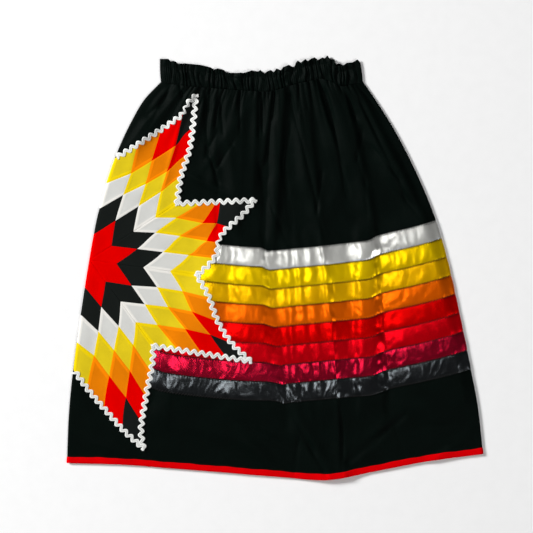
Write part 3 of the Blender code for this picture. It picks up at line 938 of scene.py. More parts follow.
BLACK_COTTON = CottonFinish("black_cotton", (0.0010, 0.0030, 0.0022), roughness=0.5, gloss=0.028)
BINDING_COTTON = CottonFinish("red_binding", (0.70, 0.0, 0.002), unevenness=0.08)
SATINS = {
    "white": SatinFinish("white_satin", (0.74, 0.74, 0.70), gloss=0.7),
    "yellow": SatinFinish("yellow_satin", (0.97, 0.62, 0.0)),
    "gold": SatinFinish("gold_satin", (0.97, 0.50, 0.0)),
    "orange": SatinFinish("orange_satin", (0.92, 0.14, 0.0)),
    "red": SatinFinish("red_satin", (0.80, 0.0, 0.0), gloss=0.74),
    "crimson": SatinFinish("crimson_satin", (0.75, 0.0, 0.006), gloss=0.74),
    "burgundy": SatinFinish("burgundy_satin", (0.52, 0.007, 0.035), gloss=0.95, roughness=0.25),
    "black": SatinFinish("black_satin", (0.066, 0.073, 0.078), gloss=1.0, roughness=0.19),
}
PATCH_COTTONS = (
    CottonFinish("patch_red", (0.76, 0.0, 0.0), unevenness=0.05),
    CottonFinish("patch_black", (0.0060, 0.0080, 0.0070), unevenness=0.1, gloss=0.08),
    CottonFinish("patch_white", (0.66, 0.66, 0.63), unevenness=0.04, gloss=0.1,
                 allowance=(0.82, 0.80, 0.75)),
    CottonFinish("patch_yellow", (0.74, 0.56, 0.012), unevenness=0.07, gloss=0.05,
                 allowance=(0.88, 0.64, 0.002)),
    CottonFinish("patch_orange", (0.78, 0.20, 0.0), unevenness=0.06, gloss=0.05,
                 allowance=(1.0, 0.25, 0.0)),
)
RING_COLOURS = (0, 1, 2, 3, 4, 0, 1)
WHITE_BRAID = BraidFinish("white_braid", (0.80, 0.81, 0.78))
BLACK_THREAD = ThreadFinish("black_thread", (0.010, 0.009, 0.008))
CASING_THREAD = ThreadFinish("casing_thread", (0.0015, 0.0022, 0.0018))
RED_THREAD = ThreadFinish("red_thread", (0.50, 0.004, 0.006))
FLOOR_PAPER = PaperFinish("floor_paper", (0.96, 0.96, 0.96))


@contextmanager
def reshaped(mesh: bpy.types.Mesh) -> Iterator[bmesh.types.BMesh]:
    """Open a mesh for bmesh operators and write it back.

    Args:
        mesh: The mesh.

    Yields:
        Its open form.
    """
    shape = bmesh.new()
    shape.from_mesh(mesh)
    yield shape
    shape.to_mesh(mesh)
    shape.free()


def close_up(shape: bmesh.types.BMesh, reach: float, sides: int = 0) -> None:
    """Merge doubled points, fill the open ends and turn the faces outward.

    Args:
        shape: A rolled-up net.
        reach: Distance within which points are the same, in millimetres.
        sides: Most sides of an end that is filled, or 0 for any.
    """
    bmesh.ops.remove_doubles(shape, verts=shape.verts[:], dist=reach * MM)
    ends = [edge for edge in shape.edges if edge.is_boundary]
    bmesh.ops.holes_fill(shape, edges=ends, sides=sides)
    bmesh.ops.recalc_face_normals(shape, faces=shape.faces[:])


def laid_net(name: str, columns: Array, rows: Array, place: Place, upward: bool = True,
             uv_size: tuple[float, float] | None = None) -> Thing:
    """Lay a grid as cloth.

    Args:
        name: Name of the object.
        columns: Values across, one for each line of points.
        rows: Values down, one for each line of points.
        place: Gives the points for arrays of column and row values, in millimetres.
        upward: Whether the faces look up when rows run towards the hem.
        uv_size: Size of the map along columns and rows, in metres.

    Returns:
        The object, with its place in its mesh.
    """
    across, down = len(columns) - 1, len(rows) - 1
    mesh = bpy.data.meshes.new(name)
    with reshaped(mesh) as grid:
        bmesh.ops.create_grid(grid, x_segments=across, y_segments=down, size=0.5)
    flat = np.zeros(len(mesh.vertices) * 3)
    mesh.vertices.foreach_get("co", flat)
    flat = flat.reshape(-1, 3)
    column = np.rint((flat[:, 0] + 0.5) * across).astype(int)
    row = np.rint((0.5 - flat[:, 1]) * down).astype(int)
    points = place(np.asarray(columns, float)[column], np.asarray(rows, float)[row]) * MM
    mesh.vertices.foreach_set("co", points.astype(np.float32).ravel())
    if uv_size is not None:
        layer = mesh.uv_layers.new(name="UVMap")
        corner = np.zeros(len(mesh.loops), int)
        mesh.loops.foreach_get("vertex_index", corner)
        pairs = np.stack([column[corner] / across, row[corner] / down], axis=-1) * uv_size
        layer.data.foreach_set("uv", pairs.astype(np.float32).ravel())
    if not upward:
        mesh.flip_normals()
    mesh.update()
    return finish_object(name, mesh)


def finish_object(name: str, mesh: bpy.types.Mesh) -> Thing:
    """Shade a mesh smooth and link it as an object.

    Args:
        name: Name of the object.
        mesh: Its mesh.

    Returns:
        The object.
    """
    mesh.shade_smooth()
    thing = bpy.data.objects.new(name, mesh)
    bpy.context.scene.collection.objects.link(thing)
    return thing


def give_wall(thing: Thing, wall: float) -> None:
    """Give an open cloth face a wall that grows inward, away from its outer side.

    Args:
        thing: The cloth.
        wall: Its thickness in millimetres.
    """
    solid = thing.modifiers.new("wall", "SOLIDIFY")
    solid.thickness = wall * MM
    solid.offset = -1.0
    solid.use_even_offset = False


def dress(thing: Thing, finishes: Sequence[Material], slot: str, *nodes: str) -> None:
    """Dress a piece, let it ride on the skirt's body and stand for its solids.

    Args:
        thing: The piece.
        finishes: Its materials.
        slot: Name of a material slot; not used.
        *nodes: Solids that it stands for.
    """
    for finish in finishes:
        thing.data.materials.append(finish)
    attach(thing, "root")
    if nodes:
        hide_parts(*nodes)
    LOG.info("%s: %d faces", thing.name, len(thing.data.polygons))


@dataclass
class Panels:
    """The black cotton tube: its front with the folds that show, and its back."""

    lay: Lay
    finish: Material
    columns: int = 236
    rows: int = 184
    back_columns: int = 150
    back_rows: int = 110
    wall: float = 0.9
    row_bunching: float = 1.35
    hem_share: float = 0.9985
    cut: tuple[float, float] = (0.832, 0.790)
    cut_area: float = 0.58

    def build(self) -> None:
        """Build both halves."""
        self.build_half(Side.FRONT, self.columns, self.rows)
        self.build_half(Side.BACK, self.back_columns, self.back_rows)

    def build_half(self, side: Side, columns: int, rows: int) -> None:
        """Build one half of the tube.

        Args:
            side: Front or back.
            columns: Number of cells across.
            rows: Number of cells down.
        """
        across = np.linspace(0.0, 1.0, columns + 1)
        across = np.unique(np.concatenate([across, FOLD_LINES, 1.0 - FOLD_LINES]))
        down = np.linspace(0.0, 1.0, rows + 1) ** self.row_bunching

        def place(a: Array, d: Array) -> Array:
            """Points of the cloth, which ends inside the binding."""
            return self.lay.on_cloth(side, a, d * self.hem_share, 0.0)

        name = f"panel_{side.value}_cloth"
        panel = laid_net(name, across, down, place, upward=side is Side.FRONT)
        give_wall(panel, self.wall)
        dress(panel, [self.finish], "cotton", f"skirt_{side.value}")


@dataclass
class Casing:
    """The elastic casing: gathers between two rows of stitching, and the ruffled heading."""

    lay: Lay
    finish: Material
    thread: Material
    columns: int = 560
    rows: int = 24
    seam_share: float = 0.02
    stitch_share: float = 0.70
    stitches: int = 700
    thread_radius: float = 0.25
    wall: float = 0.8
    gathers: int = 38
    gather_least: float = 1.2
    gather_spread: float = 4.0
    gather_lean: float = 0.005
    gather_lean_waves: tuple[float, float] = (5.0, 29.0)
    gather_round: float = 0.8
    broad_wave: tuple[float, float] = (0.014, 13.0)
    narrow_wave: Point = (0.005, 33.0, 0.0)
    evenness: tuple[float, float] = (0.85, 0.9)
    break_height: float = 30.0
    break_size: float = 13.0
    break_limits: tuple[float, float] = (0.3, 1.2)
    flare: float = 0.3
    seam_pinch: float = 0.45
    stitch_pinch: float = 0.4
    fine_gathers: int = 97
    fine_rise: float = 0.35
    fine_lean: float = 0.6
    puff: float = 0.7
    pinch_reach: float = 0.05
    front_face: float = 4.0
    back_face: float = 0.25
    back_strength: float = 0.86
    back_drop: float = 1.2
    back_corner: tuple[float, float, float] = (129.0, 9.0, 5.5)
    seam_lap: float = 0.6
    bulge: float = 1.5
    side_curve: float = 0.8
    fold_calm: float = 14.0
    stitch_margin: float = 0.012
    stitch_points: float = 3.0
    stitch_lifts: tuple[float, float] = (0.15, 0.3)
    stitch_bobs: tuple[float, float] = (0.25, 0.08)
    cut: tuple[float, float] = (0.640, 0.043)

    def top_edge(self, side: Side, across: Array) -> tuple[Array, Array]:
        """Plan points of the ruffled top edge.

        Args:
            side: Front or back; the back's edge hides behind the front's.
            across: Share across.

        Returns:
            Plan x and y.
        """
        edge_x, edge_y = np.array(HEADING_EDGE, float).T
        x = edge_x[0] + (edge_x[-1] - edge_x[0]) * across
        y = np.interp(x, edge_x, edge_y)
        if side is Side.BACK:
            corner, spread, rise = self.back_corner
            y = y - self.back_drop + rise * bell(x - corner, spread)
        return x, y

    def relief(self, across: Array, rise: Array, seed: float) -> Array:
        """Height of the gathers over the casing, pinched at both rows of stitching.

        Args:
            across: Share across.
            rise: Share up from the waist seam.
            seed: Picks the pattern of the gathers.

        Returns:
            Height at each point.
        """
        warped = pulled_about(across, ((*self.broad_wave, seed), self.narrow_wave))
        up, along = self.gather_lean_waves
        lean = self.gather_lean * np.sin(up * rise + along * across)
        phase = (warped + lean) * self.gathers
        height = varied(np.floor(phase), seed, self.gather_least, self.gather_spread)
        even, swing = self.evenness
        broken = even + swing * noise_field(across * WAIST_WIDTH, rise * self.break_height,
                                            self.break_size, seed + 60.0)
        broad = height * np.abs(np.sin(math.pi * phase)) ** self.gather_round
        broad *= np.clip(broken, *self.break_limits)
        flare = 1.0 + self.flare * smooth_step(rise, self.stitch_share, 1.0)
        pinch = 1.0 - self.seam_pinch * bell(rise, self.pinch_reach)
        pinch -= self.stitch_pinch * bell(rise - self.stitch_share, self.pinch_reach)
        phase = across * self.fine_gathers
        fine = self.fine_rise * np.sin(2 * math.pi * (phase + self.fine_lean * rise))
        fine *= scatter(np.floor(phase), 8.0)
        puff = self.puff * np.sin(math.pi * np.clip(rise / self.stitch_share, 0.0, 1.0))
        return (broad * flare + fine) * pinch + puff

    def points(self, side: Side, across: Array, rise: Array) -> Array:
        """Points of the casing's face.

        Args:
            side: Front or back.
            across: Share across.
            rise: Share up from the waist seam.

        Returns:
            Points as rows of x, y, z.
        """
        seam_x, seam_y = self.lay.plan(across, np.zeros_like(across))
        top_x, top_y = self.top_edge(side, across)
        bulge = self.bulge * np.sin(math.pi * np.clip(rise, 0.0, 1.0)) * (across - 0.5)
        x = seam_x + (top_x - seam_x) * rise ** self.side_curve + bulge
        y = seam_y - self.seam_lap + (top_y - seam_y + self.seam_lap) * rise
        near = np.minimum(across, 1.0 - across) * WAIST_WIDTH
        strength = side.pick(1.0, self.back_strength) * smooth_step(near, 0.0, self.fold_calm)
        face = side.pick(self.front_face, self.back_face)
        face = face + strength * self.relief(across, rise, side.pick(1.0, 4.0))
        return self.lay.turn_over(side, across, near, (x, y), face, 0.0)

    def build(self) -> None:
        """Build the casing and its rows of stitching on both sides."""
        for side in Side:
            self.build_cloth(side)
            self.build_stitches(side)

    def build_cloth(self, side: Side) -> None:
        """Build the casing's cloth on one side.

        Args:
            side: Front or back.
        """
        def place(a: Array, r: Array) -> Array:
            """Points of the casing's face."""
            return self.points(side, a, r)

        across = np.linspace(0.0, 1.0, self.columns + 1)
        rise = np.linspace(1.0, 0.0, self.rows + 1)
        name = f"casing_{side.value}_cloth"
        casing = laid_net(name, across, rise, place, upward=side is Side.FRONT)
        give_wall(casing, self.wall)
        dress(casing, [self.finish], "cotton", f"casing_{side.value}")

    def build_stitches(self, side: Side) -> None:
        """Build the two rows of stitching on one side.

        Args:
            side: Front or back.
        """
        lines = []
        at = np.linspace(self.stitch_margin, 1.0 - self.stitch_margin, self.stitches)
        bob = np.sin(np.arange(self.stitches) * math.pi / self.stitch_points)
        for share in (self.seam_share, self.stitch_share):
            line = self.points(side, at, np.full(self.stitches, share))
            line[:, 2] += side.pick(*self.stitch_lifts) + side.pick(*self.stitch_bobs) * bob
            lines.append(line)
        rows = thread_tubes(f"casing_{side.value}_stitches", lines, self.thread_radius)
        dress(rows, [self.thread], "cotton")


def thread_tubes(name: str, lines: Sequence[Array], radius: float) -> Thing:
    """Thin four-sided tubes along lines of points, joined in one piece.

    Args:
        name: Name of the object.
        lines: Arrays of points in millimetres.
        radius: Radius of the thread.

    Returns:
        The object.
    """
    whole = bmesh.new()
    for line in lines:
        count = len(line)
        run = np.gradient(line, axis=0)
        run /= np.maximum(np.linalg.norm(run, axis=1, keepdims=True), TINY)
        beside = np.cross(run, np.array([0.0, 0.0, 1.0]))
        beside /= np.maximum(np.linalg.norm(beside, axis=1, keepdims=True), TINY)
        above = np.cross(beside, run)
        part = bpy.data.meshes.new("part")
        with reshaped(part) as tube:
            bmesh.ops.create_grid(tube, x_segments=count - 1, y_segments=4, size=0.5)
            for vert in tube.verts:
                spot = round((vert.co.x + 0.5) * (count - 1))
                turn = -(vert.co.y + 0.5) * 2.0 * math.pi
                rim = math.cos(turn) * beside[spot] + math.sin(turn) * above[spot]
                vert.co = Vector((line[spot] + radius * rim) * MM)
            close_up(tube, reach=0.02, sides=4)
        whole.from_mesh(part)
        bpy.data.meshes.remove(part)
    mesh = bpy.data.meshes.new(name)
    whole.to_mesh(mesh)
    whole.free()
    return finish_object(name, mesh)


def under_star(x: Array, y: Array) -> Array:
    """Tell which plan points lie under the star, by counting the edges to their right.

    Args:
        x: Plan x.
        y: Plan y.

    Returns:
        True for each point under it.
    """
    corners = np.array([row[1:] for row in STAR_PATH], float)
    inside = np.zeros(x.shape, bool)
    for (x0, y0), (x1, y1) in zip(corners, np.roll(corners, -1, axis=0)):
        if y0 != y1:
            edge_x = x0 + (y - y0) / (y1 - y0) * (x1 - x0)
            inside ^= ((y0 > y) != (y1 > y)) & (x < edge_x)
    return inside


@dataclass
class Ribbons:
    """Eight satin ribbons butted edge to edge, with a zigzag row at each edge."""

    lay: Lay
    satins: dict[str, Material]
    thread: Material
    top: float = 313.0
    width: float = 38.1
    run: float = 760.0
    wall: float = 0.45
    height: float = 0.55
    columns: int = 460
    back_columns: int = 240
    back_seed: float = 11.0
    back_strength: float = 0.4
    scallop: float = 0.38
    scallop_evenness: tuple[float, float] = (0.6, 0.8)
    tilt: float = 14.0
    tilt_run: float = 37.0
    patch_edges: tuple[float, float] = (-0.25, 0.35)
    edge_buckle: float = 0.35
    crease_sharpness: float = 4.0
    edge_reach: float = 0.10
    edge_drop: float = 0.22
    crown: float = 0.30
    ridge: float = 0.12
    strong_ridge: float = 0.45
    ridged: tuple[int, ...] = (6, 7)
    starts: tuple[float, ...] = (0.27, 0.25, 0.27, 0.31, 0.33, 0.15, 0.15, 0.15)
    way_lines: tuple[float, ...] = (0.0, 0.03, 0.07, 0.12, 0.18, 0.26, 0.34, 0.42, 0.5,
                                    0.58, 0.66, 0.74, 0.82, 0.88, 0.93, 0.97, 1.0)
    stitch_end: float = 0.997
    stitch_run: float = 745.0
    stitch_pitch: float = 5.4
    stitch_swing: float = 2.0
    stitch_swings: tuple[float, ...] = (1.0, 0.0, -1.0, 0.0)
    stitch_heights: tuple[float, ...] = (0.1, 0.5, 0.1, -0.4)
    stitch_inset: float = 1.3
    stitch_offset: float = 0.4
    back_pull: float = 0.3
    sunk: float = -0.9
    thread_radius: float = 0.58
    cut_run: float = 0.75
    cut_width: float = 0.0381

    @staticmethod
    def grain(run: Array, way: Array, seed: float, grain: Sequence[float]) -> Array:
        """Noise over a ribbon's run and width, with a pattern of its own for each seed."""
        span, size, first, step = grain
        return noise_field(run, way * span, size, first + step * seed)

    def pucker(self, seed: float, across: Array, way: Array) -> Array:
        """Small wrinkles of one ribbon: soft buckles, and scallops along its stitched edges.

        Args:
            seed: Number of the ribbon, or another value on the back.
            across: Share across.
            way: Share of the ribbon's width, from its upper edge.

        Returns:
            Height at each point.
        """
        run = across * self.run
        edge = bell(way, self.edge_reach) + bell(1.0 - way, self.edge_reach)
        scallop = self.scallop * edge * np.sin(2.0 * math.pi * run / self.stitch_pitch)
        even, swing = self.scallop_evenness
        scallop *= even + swing * self.grain(run, way, seed, SCALLOP_GRAIN)
        tilt = run + self.tilt * way * np.sin(run / self.tilt_run + seed)
        patchy = smooth_step(self.grain(run, way, seed, PATCH_GRAIN), *self.patch_edges)
        buckle = np.zeros(run.shape)
        for height, *grain, everywhere in BUCKLES:
            strength = height * (1.0 if everywhere else patchy)
            buckle += strength * self.grain(tilt, way, seed, grain)
        crease = np.abs(self.grain(tilt, way, seed, CREASE_GRAIN))
        ridge = self.strong_ridge if seed in self.ridged else self.ridge
        buckle += ridge * np.maximum(0.0, 1.0 - self.crease_sharpness * crease)
        arch = np.sin(math.pi * way)
        relief = scallop + buckle * (self.edge_buckle + (1.0 - self.edge_buckle) * arch)
        return relief + self.crown * arch - self.edge_drop * edge

    def build(self) -> None:
        """Build the ribbons and their stitches on both sides."""
        for side in Side:
            for ribbon, name in enumerate(RIBBON_NAMES):
                self.build_ribbon(side, ribbon, name)
            self.build_stitches(side)

    def down_share(self, line: float | Array) -> float | Array:
        """Share down the skirt of a line, counted in ribbons from the top."""
        return (self.top + self.width * line) / self.lay.length

    def build_ribbon(self, side: Side, ribbon: int, name: str) -> None:
        """Build one ribbon on one side.

        Args:
            side: Front or back.
            ribbon: Its number from the top.
            name: Its colour's name.
        """
        start = self.starts[ribbon]
        cells = round((1.0 - start) * side.pick(self.columns, self.back_columns))
        across = np.linspace(start, 1.0, cells + 1)
        across = np.unique(np.concatenate([across, 1.0 - FOLD_LINES]))
        seed = ribbon + side.pick(0.0, self.back_seed)

        def place(a: Array, w: Array) -> Array:
            """Points of the satin over the cloth."""
            relief = side.pick(1.0, self.back_strength) * self.pucker(seed, a, w)
            return self.lay.on_cloth(side, a, self.down_share(ribbon + w), self.height + relief)

        length = (1.0 - start) * self.cut_run
        thing = laid_net(f"ribbon_{name}_{side.value}_satin", across, np.array(self.way_lines),
                         place, upward=side is Side.FRONT, uv_size=(length, self.cut_width))
        give_wall(thing, self.wall)
        dress(thing, [self.satins[name]], f"satin_{name}", f"ribbon_{name}_{side.value}")

    def build_stitches(self, side: Side) -> None:
        """Build the zigzag rows along the ribbons' edges, sunk where the star covers them.

        Args:
            side: Front or back.
        """
        lines = []
        count, points = len(RIBBON_NAMES), len(self.stitch_swings)
        offsets = {0: self.stitch_inset, count: -self.stitch_inset}
        for line in range(count + 1):
            start = self.starts[min(line, count - 1)]
            stitches = int((self.stitch_end - start) * self.stitch_run / self.stitch_pitch)
            at = np.linspace(start, self.stitch_end, points * stitches)
            quarter = np.arange(points * stitches) % points
            swing = np.choose(quarter, self.stitch_swings) * self.stitch_swing
            offset = offsets.get(line, self.stitch_offset) + swing
            down = self.down_share(line + offset / self.width)
            pull = np.choose(quarter, self.stitch_heights) * side.pick(1.0, self.back_pull)
            pull = np.where(under_star(*self.lay.plan(at, down, side)), self.sunk, pull)
            lines.append(self.lay.on_cloth(side, at, down, self.height + pull))
        rows = thread_tubes(f"ribbon_stitches_{side.value}", lines, self.thread_radius)
        dress(rows, [self.thread], "satin_black")


@dataclass
class Star:
    """The pieced eight-pointed star: four arms on each side of the fold, sixteen diamonds each."""

    lay: Lay
    cottons: Sequence[Material]
    arms: int = 4
    diamonds: int = 4
    height: float = 0.95
    wall: float = 0.45
    seam_depth: float = 0.275
    seam_spread: float = 0.022
    allowance: float = 0.125
    allowance_rise: float = 0.14
    allowance_fade: float = 0.03
    far_allowance: tuple[float, float] = (0.55, 0.35)
    far_strength: float = 0.8
    swell: float = 0.18
    swell_waves: tuple[float, float] = (19.0, 17.0)
    back_strength: float = 0.5
    cut: tuple[float, float] = (0.40, 0.72)
    cut_area: float = 0.128
    edge_samples: int = 60
    cell_shares: tuple[float, ...] = (0.0, 0.025, 0.06, 0.11, 0.17, 0.27, 0.4, 0.6, 0.73, 0.83,
                                      0.89, 0.94, 0.975)

    def legs(self) -> list[Array]:
        """Outer legs of the arms.

        Returns:
            A sampled smooth line from corner to corner for each.
        """
        found, leg = [], [STAR_PATH[0][1:]]
        for kind, x, y in STAR_PATH[1:]:
            leg.append((x, y))
            if kind != "bend":
                found.append(smooth_line(np.array(leg, float)))
                leg = [(x, y)]
        return found

    def fold_edge(self, end_y: float) -> Array:
        """Line along the left fold from the star's centre.

        Args:
            end_y: Plan y of its other end.

        Returns:
            The sampled line.
        """
        ys = np.linspace(STAR_CENTRE_Y, end_y, self.edge_samples)
        fold_y, fold_x = self.lay.tables["left_y"][1], self.lay.tables["left_x"][1]
        order = np.argsort(fold_y)
        return np.stack([np.interp(ys, fold_y[order], fold_x[order]), ys], axis=-1)

    def arm_edges(self) -> list[Edges]:
        """Edges of each arm.

        Returns:
            Two spokes from the centre and the two legs that meet at the tip, for each arm.
        """
        legs = self.legs()
        centre = self.fold_edge(STAR_CENTRE_Y)[0]
        spokes = [self.fold_edge(legs[0][0][1])]
        for leg in legs[1:-1:2]:
            spokes.append(np.linspace(centre, leg[-1], self.edge_samples))
        spokes.append(self.fold_edge(legs[-1][-1][1]))
        return [(spokes[arm], spokes[arm + 1], legs[2 * arm], legs[2 * arm + 1][::-1])
                for arm in range(self.arms)]

    @staticmethod
    def along(line: Array, share: Array) -> Array:
        """Points at shares of a line's length."""
        return points_at(line, share * run_lengths(line)[-1])

    def arm_points(self, edges: Edges, a: Array, b: Array) -> Array:
        """Plan points of an arm's patch between its four edges.

        Args:
            edges: First spoke, second spoke, leg from the first notch, leg from the second.
            a: Share along the first spoke.
            b: Share along the second spoke.

        Returns:
            Plan points.
        """
        first, second, leg_first, leg_second = edges
        on_first, on_second = self.along(first, a), self.along(second, b)
        on_leg_first, on_leg_second = self.along(leg_first, b), self.along(leg_second, a)
        a, b = a[:, None], b[:, None]
        sides = (1 - b) * on_first + b * on_leg_second + (1 - a) * on_second + a * on_leg_first
        corners = ((1 - a) * (1 - b) * first[0] + a * (1 - b) * first[-1]
                   + (1 - a) * b * second[-1] + a * b * leg_first[-1])
        return sides - corners

    def between_crossings(self, pulls: Array, a: Array, b: Array) -> Array:
        """Pull of points between the seam crossings, from the pulls of the crossings.

        Args:
            pulls: Pull in x and y at each crossing.
            a: Share along the first spoke.
            b: Share along the second spoke.

        Returns:
            Pull in x and y at each point.
        """
        at_a, at_b = a * self.diamonds, b * self.diamonds
        i = np.minimum(np.floor(at_a).astype(int), self.diamonds - 1)
        j = np.minimum(np.floor(at_b).astype(int), self.diamonds - 1)
        u, v = (at_a - i)[:, None], (at_b - j)[:, None]
        low = pulls[i, j] * (1 - u) + pulls[i + 1, j] * u
        high = pulls[i, j + 1] * (1 - u) + pulls[i + 1, j + 1] * u
        return low * (1 - v) + high * v

    def build(self) -> None:
        """Build the star's half on each side."""
        shares = np.concatenate([np.array(self.cell_shares) + cell
                                 for cell in range(self.diamonds)])
        shares = np.append(shares, self.diamonds) / self.diamonds
        for side in Side:
            arms = [self.build_arm(side, arm, edges, shares)
                    for arm, edges in enumerate(self.arm_edges())]
            star = join_pieces(f"star_{side.value}_patchwork", arms)
            give_wall(star, self.wall)
            dress(star, [], "patchwork", f"star_{side.value}")

    def build_arm(self, side: Side, arm: int, edges: Edges, shares: Array) -> Thing:
        """Build one arm of sixteen diamonds.

        Args:
            side: Front or back.
            arm: Number of the arm from the top.
            edges: The arm's four edges.
            shares: Net lines along both spokes.

        Returns:
            The arm, with a colour for each ring of diamonds.
        """
        pulls = np.zeros((self.diamonds + 1, self.diamonds + 1, 2))
        for number, i, j, *pull in CROSSING_SHIFTS:
            if number == arm:
                pulls[i, j] = pull

        def place(a: Array, down: Array) -> Array:
            """Points of the patchwork, from its net that runs back along the second spoke."""
            b = 1.0 - down
            plan = self.arm_points(edges, a, b) + self.between_crossings(pulls, a, b)
            height = self.height + self.relief(a, b, arm)
            height = height * side.pick(1.0, self.back_strength)
            return self.lay.at_plan(side, plan[:, 0], plan[:, 1], height)

        name = f"arm_{arm}_{side.value}"
        thing = laid_net(name, shares, shares, place, upward=side is Side.FRONT)
        for cotton in self.cottons:
            thing.data.materials.append(cotton)
        self.colour_rings(thing, shares)
        return thing

    def relief(self, a: Array, b: Array, arm: int) -> Array:
        """Height over the patchwork: pressed seams, and allowances that lie double beside them.

        Args:
            a: Share along the first spoke.
            b: Share along the second spoke.
            arm: Number of the arm, which changes its soft swell.

        Returns:
            Height at each point.
        """
        total = self.allowance_rise * self.band(a, b)
        for share in (a, b):
            inside = np.modf(share * self.diamonds)[0]
            total -= self.seam_depth * bell(np.minimum(inside, 1.0 - inside), self.seam_spread)
        wave_a, wave_b = self.swell_waves
        swell = self.swell * np.sin(a * wave_a + arm) * np.sin(b * wave_b + 2.0 * arm)
        return total + swell

    def band(self, a: Array, b: Array) -> Array:
        """One where a seam allowance lies under the cloth, fading to nought beside it.

        Args:
            a: Share along the first spoke.
            b: Share along the second spoke.

        Returns:
            A value from 0 to 1 at each point.
        """
        inside_a, inside_b = np.modf(a * self.diamonds)[0], np.modf(b * self.diamonds)[0]
        width = self.allowance
        nearer = np.minimum(inside_a, inside_b)
        low = 1.0 - smooth_step(nearer, width, width + self.allowance_fade)
        high = smooth_step(inside_a, *(1.0 - width * share for share in self.far_allowance))
        return np.maximum(low, self.far_strength * high)

    def colour_rings(self, thing: Thing, shares: Array) -> None:
        """Give each diamond its ring's cotton and write the allowance bands.

        Args:
            thing: The arm.
            shares: Net lines along both spokes.
        """
        mesh = thing.data
        count = len(shares)
        flat = np.zeros(len(mesh.polygons) * 4, int)
        mesh.polygons.foreach_get("vertices", flat)
        corners = flat.reshape(-1, 4)
        cells = [np.floor(shares[line.min(axis=1)] * self.diamonds + NUDGE).astype(int)
                 for line in (corners % count, corners // count)]
        ring = np.array(RING_COLOURS)[cells[0] + cells[1]]
        mesh.polygons.foreach_set("material_index", ring.astype(np.int32))
        vert = np.arange(count * count)
        band = self.band(shares[vert % count] - NUDGE, shares[vert // count] - NUDGE)
        layer = mesh.attributes.new("allowance", "FLOAT", "POINT")
        layer.data.foreach_set("value", band.astype(np.float32))


def join_pieces(name: str, parts: Sequence[Thing]) -> Thing:
    """Join pieces that share edges into one, with their attributes and colours.

    Args:
        name: Name of the whole.
        parts: The pieces.

    Returns:
        The whole.
    """
    whole = parts[0]
    with bpy.context.temp_override(active_object=whole, selected_objects=list(parts),
                                   selected_editable_objects=list(parts)):
        bpy.ops.object.join()
    whole.name = name
    with reshaped(whole.data) as seams:
        bmesh.ops.remove_doubles(seams, verts=seams.verts[:], dist=0.05 * MM)
    whole.data.shade_smooth()
    return whole


